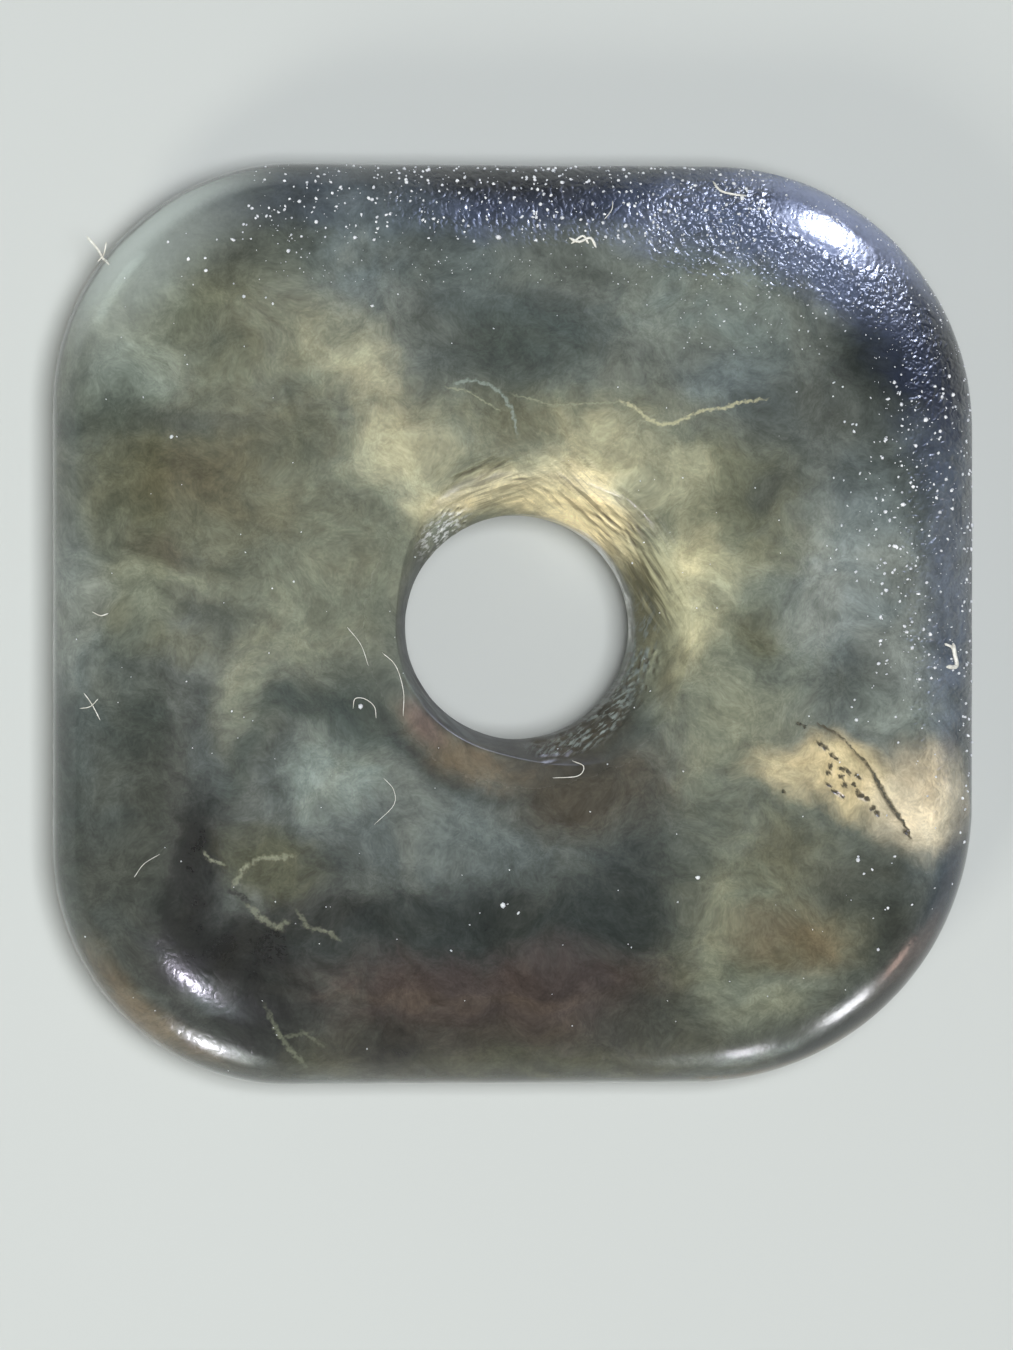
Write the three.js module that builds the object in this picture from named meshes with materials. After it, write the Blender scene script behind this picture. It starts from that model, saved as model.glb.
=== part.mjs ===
// A jade bi disc of the small pendant kind: a rounded-square plaque of nephrite with a round bore.
// The plaque is one carved solid. Its edge is worked to a full round, both faces are ground flat, and the
// bore, drilled from both faces, opens at each of them in a short funnel with a softened lip.
//
// Units are millimetres. The plaque lies on its back: +Z comes up out of its front face, +Y points to its
// top edge and +X to its right edge. The origin is the centre of the underside.

import * as THREE from 'three';
import { ParametricGeometry } from 'three/addons/geometries/ParametricGeometry.js';

// The plaque's outline: straight sides joined by corner arcs, which hand work left a little unlike.
const WIDTH = 24.2; // along X
const LENGTH = 24.0; // along Y
const CORNER_RADII = { topRight: 6.85, topLeft: 6.4, bottomLeft: 6.2, bottomRight: 7.3 };

// Its thickness, and the full round of its edge, which runs out into the flat faces.
const THICKNESS = 4.6;
const RIM_WIDTH = 3.4; // from the outline in to the flat face
const RIM_FULLNESS = 2.1; // 1 is a straight bevel and 2 an elliptical round

// The bore: a short straight land at mid-thickness, with a funnel on each side of it.
const BORE_CENTRE = new THREE.Vector2(0.06, -0.08);
const BORE_RADIUS = 2.95;
const LAND_LENGTH = 1.3;
const MOUTH_RADIUS = 4.2; // where a funnel meets its face
const FUNNEL_FULLNESS = 1.7;

// How finely the surface is divided.
const MERIDIANS = 128;
const RIM_STEPS = 8; // from a face to the middle of the edge
const FUNNEL_STEPS = 6; // from a face to the land

const JADE = new THREE.MeshStandardMaterial({ color: 0x69705f, roughness: 0.16, metalness: 0 });

// The radius of the outline's corner in the quarter that a direction points to.
function cornerRadius(direction) {
  if (direction.y >= 0) return direction.x >= 0 ? CORNER_RADII.topRight : CORNER_RADII.topLeft;
  return direction.x >= 0 ? CORNER_RADII.bottomRight : CORNER_RADII.bottomLeft;
}

// Where a ray from the plaque's centre crosses its outline, and the outline's outward normal there.
function outlineAt(angle) {
  const ray = new THREE.Vector2(Math.cos(angle), Math.sin(angle));
  const quarter = new THREE.Vector2(Math.sign(ray.x), Math.sign(ray.y));
  const toSide = WIDTH / 2 / Math.abs(ray.x);
  const toEnd = LENGTH / 2 / Math.abs(ray.y);
  const point = ray.clone().multiplyScalar(Math.min(toSide, toEnd));

  const radius = cornerRadius(ray);
  const arcCentre = new THREE.Vector2(WIDTH / 2 - radius, LENGTH / 2 - radius).multiply(quarter);
  const onSide = Math.abs(point.y) <= Math.abs(arcCentre.y);
  const onEnd = Math.abs(point.x) <= Math.abs(arcCentre.x);
  if (onSide) return { point, normal: new THREE.Vector2(quarter.x, 0) };
  if (onEnd) return { point, normal: new THREE.Vector2(0, quarter.y) };

  const along = ray.dot(arcCentre);
  const reach = along + Math.sqrt(along ** 2 - arcCentre.lengthSq() + radius ** 2);
  point.copy(ray).multiplyScalar(reach);
  return { point, normal: point.clone().sub(arcCentre).normalize() };
}

// A rounded shoulder that runs from a flat face down to a wall square to it, as a superellipse quarter.
// Each step gives its distance from the wall and its drop below the face.
function shoulder(width, depth, fullness, steps) {
  const power = 2 / fullness;
  return Array.from({ length: steps + 1 }, (_, step) => {
    const turn = ((step / steps) * Math.PI) / 2;
    return {
      fromWall: width * (1 - Math.sin(turn) ** power),
      drop: depth * (1 - Math.cos(turn) ** power),
    };
  });
}

// The closed section of the ring: down the bore from the front face to the underside, then up over the rim.
function ringSection() {
  const rim = shoulder(RIM_WIDTH, THICKNESS / 2, RIM_FULLNESS, RIM_STEPS);
  const funnelDepth = (THICKNESS - LAND_LENGTH) / 2;
  const funnel = shoulder(MOUTH_RADIUS - BORE_RADIUS, funnelDepth, FUNNEL_FULLNESS, FUNNEL_STEPS);
  const front = (wall) => ({ fromWall, drop }) => ({ wall, fromWall, z: THICKNESS - drop });
  const back = (wall) => ({ fromWall, drop }) => ({ wall, fromWall, z: drop });
  return [
    ...funnel.map(front('bore')),
    ...funnel.toReversed().map(back('bore')),
    ...rim.map(back('rim')),
    ...rim.slice(0, -1).reverse().map(front('rim')),
  ];
}

// The plaque's surface: the section carried round the bore, its outer part held to the outline.
function plaqueGeometry() {
  const section = ringSection();
  const placePoint = (round, across, target) => {
    const angle = round * 2 * Math.PI;
    const { wall, fromWall, z } = section[Math.round(across * section.length) % section.length];
    if (wall === 'rim') {
      const { point, normal } = outlineAt(angle);
      target.set(point.x - fromWall * normal.x, point.y - fromWall * normal.y, z);
      return;
    }
    const radius = BORE_RADIUS + fromWall;
    target.set(BORE_CENTRE.x + radius * Math.cos(angle), BORE_CENTRE.y + radius * Math.sin(angle), z);
  };
  return new ParametricGeometry(placePoint, MERIDIANS, section.length);
}

const jadeBi = new THREE.Mesh(plaqueGeometry(), JADE);
jadeBi.name = 'jade_bi';

const part = new THREE.Group();
part.add(jadeBi);

export default part;
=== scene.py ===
"""Looks of a jade bi disc: a small rounded-square plaque of cloudy nephrite with one round bore.

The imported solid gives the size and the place. A finer mesh of the same form stands for it and carries what
the hand and the years left: grinding strokes round the bore, a crack, pits, dust and lint.
Lengths are millimetres inside the classes and metres in the scene.
"""

import logging
import math
from collections.abc import Callable
from dataclasses import dataclass, replace
from enum import Enum

import bpy
import numpy as np
from mathutils import Matrix, Vector


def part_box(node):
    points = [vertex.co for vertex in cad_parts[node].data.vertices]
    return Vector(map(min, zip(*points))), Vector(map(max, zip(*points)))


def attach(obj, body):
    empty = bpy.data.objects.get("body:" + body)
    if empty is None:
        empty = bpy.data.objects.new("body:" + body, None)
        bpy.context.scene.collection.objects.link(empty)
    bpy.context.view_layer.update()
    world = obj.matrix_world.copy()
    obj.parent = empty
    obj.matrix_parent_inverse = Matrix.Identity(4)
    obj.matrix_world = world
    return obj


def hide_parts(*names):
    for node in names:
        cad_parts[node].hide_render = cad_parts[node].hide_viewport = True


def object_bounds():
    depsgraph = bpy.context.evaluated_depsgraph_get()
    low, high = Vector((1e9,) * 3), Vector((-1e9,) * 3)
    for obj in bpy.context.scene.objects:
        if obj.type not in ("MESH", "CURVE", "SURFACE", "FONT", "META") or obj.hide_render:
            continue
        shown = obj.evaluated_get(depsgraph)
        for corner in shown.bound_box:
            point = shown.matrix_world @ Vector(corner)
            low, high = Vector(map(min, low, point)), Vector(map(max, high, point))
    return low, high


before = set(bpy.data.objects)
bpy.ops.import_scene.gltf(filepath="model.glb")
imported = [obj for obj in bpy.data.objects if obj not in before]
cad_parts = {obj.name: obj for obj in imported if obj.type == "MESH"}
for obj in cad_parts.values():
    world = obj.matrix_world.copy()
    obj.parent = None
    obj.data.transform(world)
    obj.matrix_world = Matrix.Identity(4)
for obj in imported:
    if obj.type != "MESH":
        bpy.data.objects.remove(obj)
CAD_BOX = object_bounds()

MM = 0.001
NODE = "jade_bi"
BODY = "root"
# Clouds are centred at this height above the floor, and fade out this far above and below it.
CLOUD_HEIGHT = 3.6
CLOUD_DEPTH = 9.0

log = logging.getLogger("jade_bi")


def linear(red: float, green: float, blue: float) -> tuple[float, float, float, float]:
    """Turns a display colour into the linear one that the shaders take.

    Args:
        red: The red share, 0 to 255.
        green: The green share, 0 to 255.
        blue: The blue share, 0 to 255.

    Returns:
        The linear red, green and blue, and an alpha of 1.
    """
    shares = [c / 255 for c in (red, green, blue)]
    flat = [c / 12.92 if c <= 0.04045 else ((c + 0.055) / 1.055) ** 2.4 for c in shares]
    return (*flat, 1.0)


def smooth(low: float, high: float, value: np.ndarray) -> np.ndarray:
    """Eases from 0 at low to 1 at high.

    Args:
        low: Where the rise starts.
        high: Where it ends; it may be below low.
        value: The numbers to ease.

    Returns:
        The eased numbers, 0 to 1.
    """
    share = np.clip((value - low) / (high - low), 0, 1)
    return share * share * (3 - 2 * share)


class Tint(Enum):
    """The colours of the stone, and of the painted reflections, highlights and glints on its polish, as
    display colours.
    """

    CREAM = (240, 228, 180)
    STRAW = (188, 186, 150)
    SAGE = (150, 154, 128)
    FERN = (120, 125, 105)
    MOSS = (102, 104, 81)
    OLIVE = (85, 87, 65)
    UMBER = (96, 93, 70)
    BARK = (80, 75, 62)
    SLATE = (104, 113, 109)
    HAZE = (124, 136, 136)
    MIST = (138, 150, 140)
    CELADON = (144, 154, 150)
    PINE = (68, 79, 74)
    DEEP = (54, 60, 57)
    SMOKE = (78, 83, 77)
    INK = (46, 47, 45)
    PLUM = (80, 71, 67)
    RUST = (120, 104, 76)
    # NAVY, DUSK and IRIS serve only painted reflections in the polished rim.
    NAVY = (49, 58, 78)
    DUSK = (104, 118, 146)
    IRIS = (158, 170, 206)
    ROSE = (136, 116, 110)
    # FROST serves only painted highlights and reflections at the rim.
    FROST = (192, 201, 196)
    SHELL = (226, 214, 182)
    HONEY = (206, 192, 148)
    # SNOW serves only painted reflections and glints round the bore.
    SNOW = (236, 238, 236)

    @property
    def rgba(self) -> tuple[float, float, float, float]:
        """The tint as a linear colour."""
        return linear(*self.value)


class Chart(Enum):
    """How a place on the stone is measured."""

    FACE = "x and y from the plaque's centre, drawn out with the stone's grain"
    CRISP = "x and y from the plaque's centre, over the stone's grain"
    RIM = "bearing in degrees, and distance in from the outline"
    BORE = "bearing in degrees, and distance out from the bore's wall"
    # Painted reflections at the rim: the pale crescent at the upper left, the dark line at its outline and
    # the pale outer edge of the upper right corner.
    PAINTED_SHEEN = "bearing in degrees, and distance in from the outline, over the stone's grain"


@dataclass(frozen=True)
class Cloud:
    """A soft-edged patch of colour: mostly the stone's own, some painted light, shade, glow or reflection on
    it.

    Attributes:
        name: What it is.
        place: Its centre on its chart.
        reach: Its half sizes on its chart, before it is turned.
        turn: Its turn, in degrees anticlockwise.
        tint: Its colour.
        strength: How much of the colour below it covers, 0 to 1.
        soft: How gradual its edge is, 0 to 1.
        ragged: How far its edge wanders, as a share of its reach.
        chart: How its place is measured.
    """

    name: str
    place: tuple[float, float]
    reach: tuple[float, float]
    turn: float
    tint: Tint
    strength: float
    soft: float = 0.8
    ragged: float = 0.4
    chart: Chart = Chart.FACE

    @classmethod
    def along(cls, name: str, start: tuple[float, ...], end: tuple[float, ...], girth: float, tint: Tint,
              strength: float, soft: float, ragged: float) -> "Cloud":
        """Makes a thin cloud along a line, a little longer than the line.

        Args:
            name: What it is.
            start: Where the line starts in plan.
            end: Where it ends.
            girth: The cloud's half width.
            tint: Its colour.
            strength: How much of the colour below it covers, 0 to 1.
            soft: How gradual its edge is, 0 to 1.
            ragged: How far its edge wanders, as a share of its reach.

        Returns:
            The cloud.
        """
        (x, y), (x_end, y_end) = start[:2], end[:2]
        middle = ((x + x_end) / 2, (y + y_end) / 2)
        reach = (math.hypot(x_end - x, y_end - y) * 0.6, girth)
        turn = math.degrees(math.atan2(y_end - y, x_end - x))
        return cls(name, middle, reach, turn, tint, strength, soft, ragged, Chart.CRISP)

    @property
    def laps(self) -> tuple[float, ...]:
        """The turns that bring it back into a chart of bearings, -90 to 270, that it sticks out of.

        Returns:
            Each turn, in degrees.
        """
        if self.chart in (Chart.FACE, Chart.CRISP):
            return ()
        spill = 1.8 * self.reach[0]
        return tuple(lap for lap in (-360.0, 360.0) if abs(self.place[0] + lap - 90) < 180 + spill)


CLOUDS: tuple[Cloud, ...] = (
    Cloud("upper field", (2.0, 8.4), (7.0, 3.0), 0, Tint.SLATE, 0.9, 0.5, 0.3),
    Cloud("upper left field", (-8.2, 7.4), (3.4, 2.4), 0, Tint.FERN, 0.8),
    Cloud("left field", (-8.4, 3.2), (3.2, 2.4), 0, Tint.MOSS, 0.85),
    Cloud("left middle field", (-5.2, 1.4), (2.4, 3.2), 0, Tint.FERN, 0.8),
    Cloud("lower left field", (-10.4, -5.2), (2.4, 4.0), 0, Tint.SMOKE, 0.85, 0.5),
    Cloud("lower field", (-1.4, -5.0), (4.6, 2.4), 0, Tint.SLATE, 0.8, 0.6),
    Cloud("dark band", (-0.9, -8.1), (5.8, 1.5), 0, Tint.DEEP, 0.92, 0.6, 0.3),
    Cloud("plum band", (-0.4, -9.6), (5.8, 1.2), 0, Tint.PLUM, 0.9, 0.5, 0.3),
    Cloud("foot", (-1.0, -11.2), (5.6, 0.9), 0, Tint.BARK, 0.7, 0.6, 0.3),
    Cloud("lower right field", (6.6, -8.2), (2.8, 3.4), 0, Tint.FERN, 0.85, 0.6),
    Cloud("right field", (8.0, 0.8), (3.6, 3.2), 0, Tint.HAZE, 0.6),
    Cloud("right middle field", (5.4, -0.6), (2.0, 3.6), 0, Tint.FERN, 0.7),
    # The halo above and right of the bore is partly the stone's paler tone and partly painted glow of light
    # through the thin stone there.
    Cloud("halo", (0.2, 3.6), (4.4, 2.2), 0, Tint.SAGE, 0.75),
    Cloud("halo right", (4.0, 0.8), (1.4, 2.6), 0, Tint.SAGE, 0.75),
    Cloud("top dark heart", (-0.2, 7.4), (2.0, 1.2), 0, Tint.PINE, 0.85),
    Cloud("top pale left", (-4.5, 9.0), (1.3, 1.1), 0, Tint.HAZE, 0.65),
    Cloud("top pale right", (4.6, 8.6), (2.0, 1.4), 10, Tint.MIST, 0.5),
    Cloud("right shoulder shade", (9.3, 7.0), (1.5, 0.9), -25, Tint.DEEP, 0.85),
    Cloud("right shoulder tail", (7.9, 5.8), (1.4, 0.8), -20, Tint.SMOKE, 0.45),
    Cloud("east of vein", (5.2, 6.4), (1.0, 0.7), 0, Tint.HAZE, 0.5),
    Cloud("upper left pale", (-10.2, 6.5), (1.2, 0.9), 20, Tint.MIST, 0.7),
    Cloud("upper left mist", (-9.6, 8.2), (1.6, 1.2), 40, Tint.MIST, 0.35),
    Cloud("upper left dark", (-8.0, 7.4), (0.9, 1.0), 0, Tint.MOSS, 0.7),
    Cloud("upper left corner shade", (-7.2, 9.6), (0.7, 0.9), -30, Tint.SMOKE, 0.6),
    Cloud("arm", (-4.3, 6.6), (0.7, 1.7), 38, Tint.STRAW, 0.55),
    Cloud("arm foot", (-3.4, 4.5), (1.0, 1.1), 20, Tint.STRAW, 0.55),
    Cloud("arm dark side", (-6.1, 5.1), (0.9, 0.9), 0, Tint.MOSS, 0.5),
    Cloud("arm west", (-5.5, 6.6), (0.7, 0.9), 30, Tint.SAGE, 0.45),
    Cloud("umber", (-8.8, 3.8), (2.0, 0.9), 0, Tint.UMBER, 0.8),
    Cloud("umber low", (-6.2, 2.9), (1.2, 0.8), 0, Tint.UMBER, 0.3),
    Cloud("umber streak", (-9.2, 5.2), (2.4, 0.3), 0, Tint.SMOKE, 0.6),
    Cloud("umber corner", (-11.0, 5.2), (0.8, 0.5), 0, Tint.PINE, 0.7),
    Cloud("left knot", (-9.6, 1.9), (0.8, 0.45), -30, Tint.BARK, 0.6),
    Cloud("left pale streak", (-9.4, 1.1), (1.8, 0.35), -10, Tint.SAGE, 0.5),
    Cloud("left pale patch", (-10.7, 0.4), (1.1, 0.9), 0, Tint.SAGE, 0.85),
    Cloud("left edge light", (-10.9, 2.0), (1.0, 3.0), 0, Tint.SAGE, 0.15),
    # Painted pale reflection along the left edge.
    Cloud("left cold edge", (-11.5, 0.4), (0.5, 1.5), 0, Tint.CELADON, 0.65),
    Cloud("left dark patch", (-9.0, -0.6), (1.3, 0.4), 0, Tint.MOSS, 0.5),
    Cloud("lower left shade", (-10.3, -2.6), (0.9, 0.9), 0, Tint.PINE, 0.6),
    Cloud("lower left band", (-7.3, -1.9), (0.6, 1.5), -10, Tint.SAGE, 0.55),
    Cloud("pale disc", (-5.0, -3.8), (1.5, 1.2), 15, Tint.MIST, 0.76, 0.5, 0.3),
    Cloud("pale disc tail", (-1.6, -5.2), (2.8, 0.9), -5, Tint.SLATE, 0.5),
    Cloud("curl top", (-5.7, -2.2), (1.5, 0.45), 0, Tint.PINE, 0.75, 0.7, 0.3),
    Cloud("left of bore shade", (-4.3, -2.1), (0.9, 1.3), 10, Tint.PINE, 0.75),
    Cloud("curl left", (-7.5, -3.6), (0.3, 1.5), -25, Tint.PINE, 0.6, 0.7, 0.3),
    Cloud("curl west light", (-8.4, -3.6), (0.5, 0.8), 0, Tint.SLATE, 0.6),
    Cloud("curl", (-8.5, -6.1), (0.75, 1.8), 0, Tint.INK, 0.9, 0.6, 0.3),
    Cloud("curl foot", (-7.4, -8.2), (1.8, 0.7), -15, Tint.INK, 0.8, 0.6, 0.3),
    Cloud("olive patch", (-6.6, -6.2), (1.2, 0.9), -25, Tint.OLIVE, 0.85, 0.5, 0.3),
    Cloud("olive patch east", (-5.2, -6.4), (0.6, 0.5), 0, Tint.DEEP, 0.5),
    Cloud("olive patch shade", (-5.4, -7.6), (1.0, 0.5), 0, Tint.INK, 0.6),
    Cloud("corner shade", (-7.8, -9.4), (2.2, 1.3), -35, Tint.INK, 0.85, 0.6, 0.3),
    Cloud("dark under bore", (1.5, -4.3), (2.2, 1.1), 0, Tint.BARK, 0.92),
    Cloud("dark right of foot", (2.6, -6.8), (1.4, 1.6), 0, Tint.DEEP, 0.6),
    Cloud("rust arc border", (238, 1.6), (30, 0.25), 0, Tint.DEEP, 0.6, 0.7, 0.9, Chart.BORE),
    Cloud("plum streak", (-1.6, -9.7), (3.6, 0.2), 0, Tint.RUST, 0.12),
    Cloud("plum end", (3.4, -10.3), (1.5, 0.9), 0, Tint.DEEP, 0.6),
    Cloud("foot dark", (-3.2, -10.8), (1.2, 0.7), 0, Tint.INK, 0.6),
    Cloud("foot olive", (1.0, -11.4), (3.4, 0.4), 0, Tint.OLIVE, 0.7),
    Cloud("foot olive left", (-5.4, -11.3), (1.0, 0.5), 0, Tint.OLIVE, 0.6),
    Cloud("right stripe", (5.0, -8.4), (0.3, 2.0), 0, Tint.SAGE, 0.32, 0.8, 0.2),
    Cloud("right foot pale", (6.9, -9.8), (1.6, 0.8), 10, Tint.MIST, 0.7),
    Cloud("right foot tan", (6.6, -10.0), (1.2, 0.6), 0, Tint.SAGE, 0.5),
    Cloud("right ring", (6.9, -5.9), (0.9, 0.8), 0, Tint.UMBER, 0.4),
    Cloud("tan patch", (7.3, -8.1), (1.2, 0.9), 0, Tint.RUST, 0.6, 0.9),
    Cloud("tan patch west", (6.0, -8.0), (0.9, 0.6), 0, Tint.RUST, 0.3),
    Cloud("right low shade", (9.0, -6.7), (1.5, 0.8), 0, Tint.SMOKE, 0.75, 0.6),
    # Painted blue sheen in the rim at the lower right.
    Cloud("right low blue", (-30, 0.9), (6, 0.7), 0, Tint.HAZE, 0.65, 0.8, 0.4, Chart.RIM),
    Cloud("right low spot", (9.4, -7.8), (0.5, 0.5), 0, Tint.DEEP, 0.6),
    Cloud("right diagonal", (5.0, -3.0), (0.5, 1.5), -20, Tint.SAGE, 0.35),
    Cloud("patch west", (6.9, -3.7), (1.0, 0.6), -20, Tint.HONEY, 0.6, 0.7, 0.4),
    Cloud("patch heart", (8.5, -3.95), (1.4, 0.8), -28, Tint.HONEY, 0.88, 0.5, 0.3),
    Cloud("patch east", (10.5, -4.6), (1.3, 1.2), 0, Tint.SHELL, 0.97, 0.6, 0.3),
    Cloud("patch outer side", (9.7, -2.4), (1.2, 0.5), -30, Tint.MIST, 0.6, 0.6, 0.3),
    Cloud("right arm", (6.0, 1.9), (1.8, 0.5), 10, Tint.SAGE, 0.6),
    Cloud("right olive", (5.3, 3.3), (1.7, 1.3), 0, Tint.MOSS, 0.75),
    Cloud("right smudge", (6.1, 3.4), (0.6, 0.35), 15, Tint.SMOKE, 0.7),
    Cloud("right smudge low", (6.0, -0.2), (0.6, 0.6), 0, Tint.MOSS, 0.7),
    Cloud("right pale", (8.6, 1.1), (1.5, 1.6), 0, Tint.CELADON, 0.85),
    Cloud("right pale low", (9.8, -1.2), (0.8, 1.9), 0, Tint.CELADON, 0.6),
    Cloud("right upper border", (10.9, 5.0), (0.9, 0.8), 0, Tint.CELADON, 0.5),
    Cloud("right lower border", (11.0, -2.6), (0.6, 0.6), 0, Tint.CELADON, 0.5),
    Cloud("south east tan", (5.9, -2.2), (1.1, 0.8), -20, Tint.STRAW, 0.18),
    Cloud("right of bore dark", (3.8, -1.3), (0.4, 0.7), 0, Tint.UMBER, 0.6),
    Cloud("under the corner light", (8.2, 8.7), (0.7, 0.6), -40, Tint.CELADON, 0.6),
    Cloud("west of bore", (-6.1, 0.3), (1.2, 1.3), 0, Tint.SAGE, 0.3),
    Cloud("left border light", (-10.8, -1.3), (0.9, 2.8), 0, Tint.SLATE, 0.5),
    Cloud("upper left heart", (-8.2, 7.6), (0.8, 0.6), 0, Tint.PINE, 0.45),
    Cloud("lower left dark", (-6.6, -7.7), (0.8, 0.6), 0, Tint.INK, 0.55),
    Cloud("right slate", (8.4, -1.6), (1.0, 0.7), 0, Tint.SMOKE, 0.5),
    Cloud("above halo", (0.4, 5.4), (2.8, 0.6), 0, Tint.MOSS, 0.55),
    # The straw and cream round the bore's upper right are partly the stone's tone and partly painted glow of
    # light through the thin stone there.
    Cloud("halo straw top", (2.1, 4.5), (1.2, 0.9), -35, Tint.STRAW, 0.75),
    Cloud("halo straw far", (3.8, 3.8), (0.8, 0.7), -30, Tint.STRAW, 0.6),
    Cloud("halo cream", (1.6, 3.6), (1.2, 0.5), -30, Tint.CREAM, 0.65),
    Cloud("halo cream spur", (-1.2, 3.4), (1.5, 0.4), 12, Tint.CREAM, 0.75),
    Cloud("halo left straw", (-2.4, 3.1), (0.8, 0.8), 30, Tint.STRAW, 0.7),
    Cloud("halo straw right", (4.2, 1.0), (0.8, 1.4), -10, Tint.STRAW, 0.9),
    Cloud("left of bore green", (-3.9, 1.4), (0.7, 1.4), 0, Tint.FERN, 0.6),
    # Painted reflections in the polished rim along the top and right: the navy bands are a painted dark blue
    # reflection, the dusk and haze bits a painted paler blue sheen, and the ink and navy edge lines painted
    # dark reflections.
    Cloud("navy top", (92, 0.8), (32, 1.0), 0, Tint.NAVY, 0.94, 0.5, 0.3, Chart.RIM),
    Cloud("top sheen left", (109, 1.2), (8, 0.9), 0, Tint.HAZE, 0.55, 0.8, 0.6, Chart.RIM),
    Cloud("top sheen middle", (94, 1.5), (6, 0.5), 0, Tint.DUSK, 0.35, 0.8, 0.9, Chart.RIM),
    Cloud("top dark middle", (93, 0.3), (12, 0.6), 0, Tint.INK, 0.85, 0.8, 0.3, Chart.RIM),
    Cloud("top sheen right", (68, 1.4), (8, 0.9), 0, Tint.DUSK, 0.8, 0.8, 0.7, Chart.RIM),
    Cloud("upper right corner", (47, 1.3), (19, 1.4), 0, Tint.NAVY, 0.9, 0.5, 0.4, Chart.RIM),
    Cloud("upper right corner heart", (52, 1.5), (10, 1.0), 0, Tint.DUSK, 0.85, 0.8, 0.4, Chart.RIM),
    Cloud("right rim", (8, 0.8), (20, 0.7), 0, Tint.DUSK, 0.5, 0.8, 0.8, Chart.RIM),
    Cloud("right rim navy", (30, 1.0), (9, 1.1), 0, Tint.NAVY, 0.85, 0.6, 0.5, Chart.RIM),
    Cloud("right rim foot", (-33, 0.4), (9, 0.5), 0, Tint.NAVY, 0.7, 0.8, 0.4, Chart.RIM),
    Cloud("right edge line", (8, 0.0), (34, 0.16), 0, Tint.NAVY, 0.9, 0.5, 0.2, Chart.RIM),
    # Painted pale reflection along the left rim, and painted shade on the rim lower down.
    Cloud("left rim", (176, 0.4), (16, 0.4), 0, Tint.HAZE, 0.3, 0.8, 0.3, Chart.RIM),
    Cloud("left rim low", (206, 0.3), (14, 0.3), 0, Tint.PINE, 0.5, 0.8, 0.3, Chart.RIM),
    # A painted pale crescent of reflected light at the upper left corner.
    Cloud("crescent", (135, 0.6), (10, 0.95), 0, Tint.FROST, 0.42, 0.9, 0.1, Chart.PAINTED_SHEEN),
    Cloud("crescent edge", (133, 0.25), (10, 0.28), 0, Tint.FROST, 0.85, 0.9, 0.05, Chart.PAINTED_SHEEN),
    # A painted pale reflection at the upper right corner's outer edge.
    Cloud("upper right corner edge", (52, 0.2), (11, 0.35), 0, Tint.IRIS, 0.8, 0.8, 0.2, Chart.PAINTED_SHEEN),
    # Painted shade where the upper right corner's sheen ends.
    Cloud("right rim shade", (33, 0.4), (5, 0.5), 0, Tint.INK, 0.6, 0.8, 0.3, Chart.RIM),
    # A painted dark line at the outline beside the crescent.
    Cloud("crescent line", (128, 0.0), (26, 0.09), 0, Tint.INK, 0.8, 0.4, 0.1, Chart.PAINTED_SHEEN),
    # Painted reflections and shade round the foot's rim: the warm brown, rose and thin rust-coloured edge are
    # painted warm reflections, the frost, the slate at the lower left corner and the celadon band are painted
    # highlights, and the ink and deep stretches are painted shade.
    Cloud("foot left warm reflection", (226, 0.3), (8, 0.4), 0, Tint.RUST, 0.7, 0.7, 0.4, Chart.RIM),
    Cloud("foot left shine", (234, 0.6), (4, 0.15), 0, Tint.FROST, 0.6, 0.8, 0.6, Chart.RIM),
    Cloud("corner shine", (-8.2, -9.7), (0.8, 0.4), -30, Tint.SLATE, 0.8, 0.8, 0.6),
    Cloud("foot right rose", (-42, 0.35), (6, 0.35), 0, Tint.ROSE, 0.7, 0.7, 0.4, Chart.RIM),
    Cloud("foot right line", (-38, 0.0), (22, 0.12), 0, Tint.INK, 0.9, 0.5, 0.2, Chart.RIM),
    Cloud("foot right dark", (-50, 0.25), (12, 0.3), 0, Tint.INK, 0.85, 0.6, 0.3, Chart.RIM),
    Cloud("foot right shade", (-50, 0.9), (13, 0.8), 0, Tint.DEEP, 0.65, 0.8, 0.4, Chart.RIM),
    Cloud("foot right band", (-64, 0.6), (8, 0.15), 0, Tint.CELADON, 0.6, 0.7, 0.8, Chart.RIM),
    Cloud("foot right edge", (-58, 0.05), (10, 0.12), 0, Tint.RUST, 0.8, 0.6, 0.3, Chart.RIM),
    # Partly the stone's cream tone and partly painted glow of light through the thin stone at the bore's
    # upper right.
    Cloud("bore cream glow", (62, 0.35), (30, 0.55), 0, Tint.CREAM, 0.85, 0.6, 0.5, Chart.BORE),
    Cloud("bore right", (12, 0.45), (22, 0.45), 0, Tint.UMBER, 0.8, 0.8, 0.5, Chart.BORE),
    # Partly the stone's straw tone and partly painted glow beyond the bore's right wall.
    Cloud("bore right straw glow", (10, 1.2), (20, 0.35), 0, Tint.STRAW, 0.7, 0.8, 0.5, Chart.BORE),
    # Painted shade on the bore's left wall.
    Cloud("bore left shade", (182, 0.1), (34, 0.3), 0, Tint.DEEP, 0.9, 0.6, 0.3, Chart.BORE),
    Cloud("rust arc", (242, 0.95), (23, 0.5), 0, Tint.RUST, 0.7, 0.8, 0.6, Chart.BORE),
    Cloud("rust arc left", (222, 0.8), (9, 0.35), 0, Tint.ROSE, 0.5, 0.8, 0.5, Chart.BORE),
    # Painted shade on the bore's lower walls.
    Cloud("bore foot shade", (238, 0.12), (36, 0.38), 0, Tint.INK, 0.9, 0.6, 0.4, Chart.BORE),
    Cloud("bore low shade", (-62, 0.25), (32, 0.5), 0, Tint.BARK, 0.9, 0.6, 0.5, Chart.BORE),
    # Painted pale reflection on the frosted patch at the bore's upper left.
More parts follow.
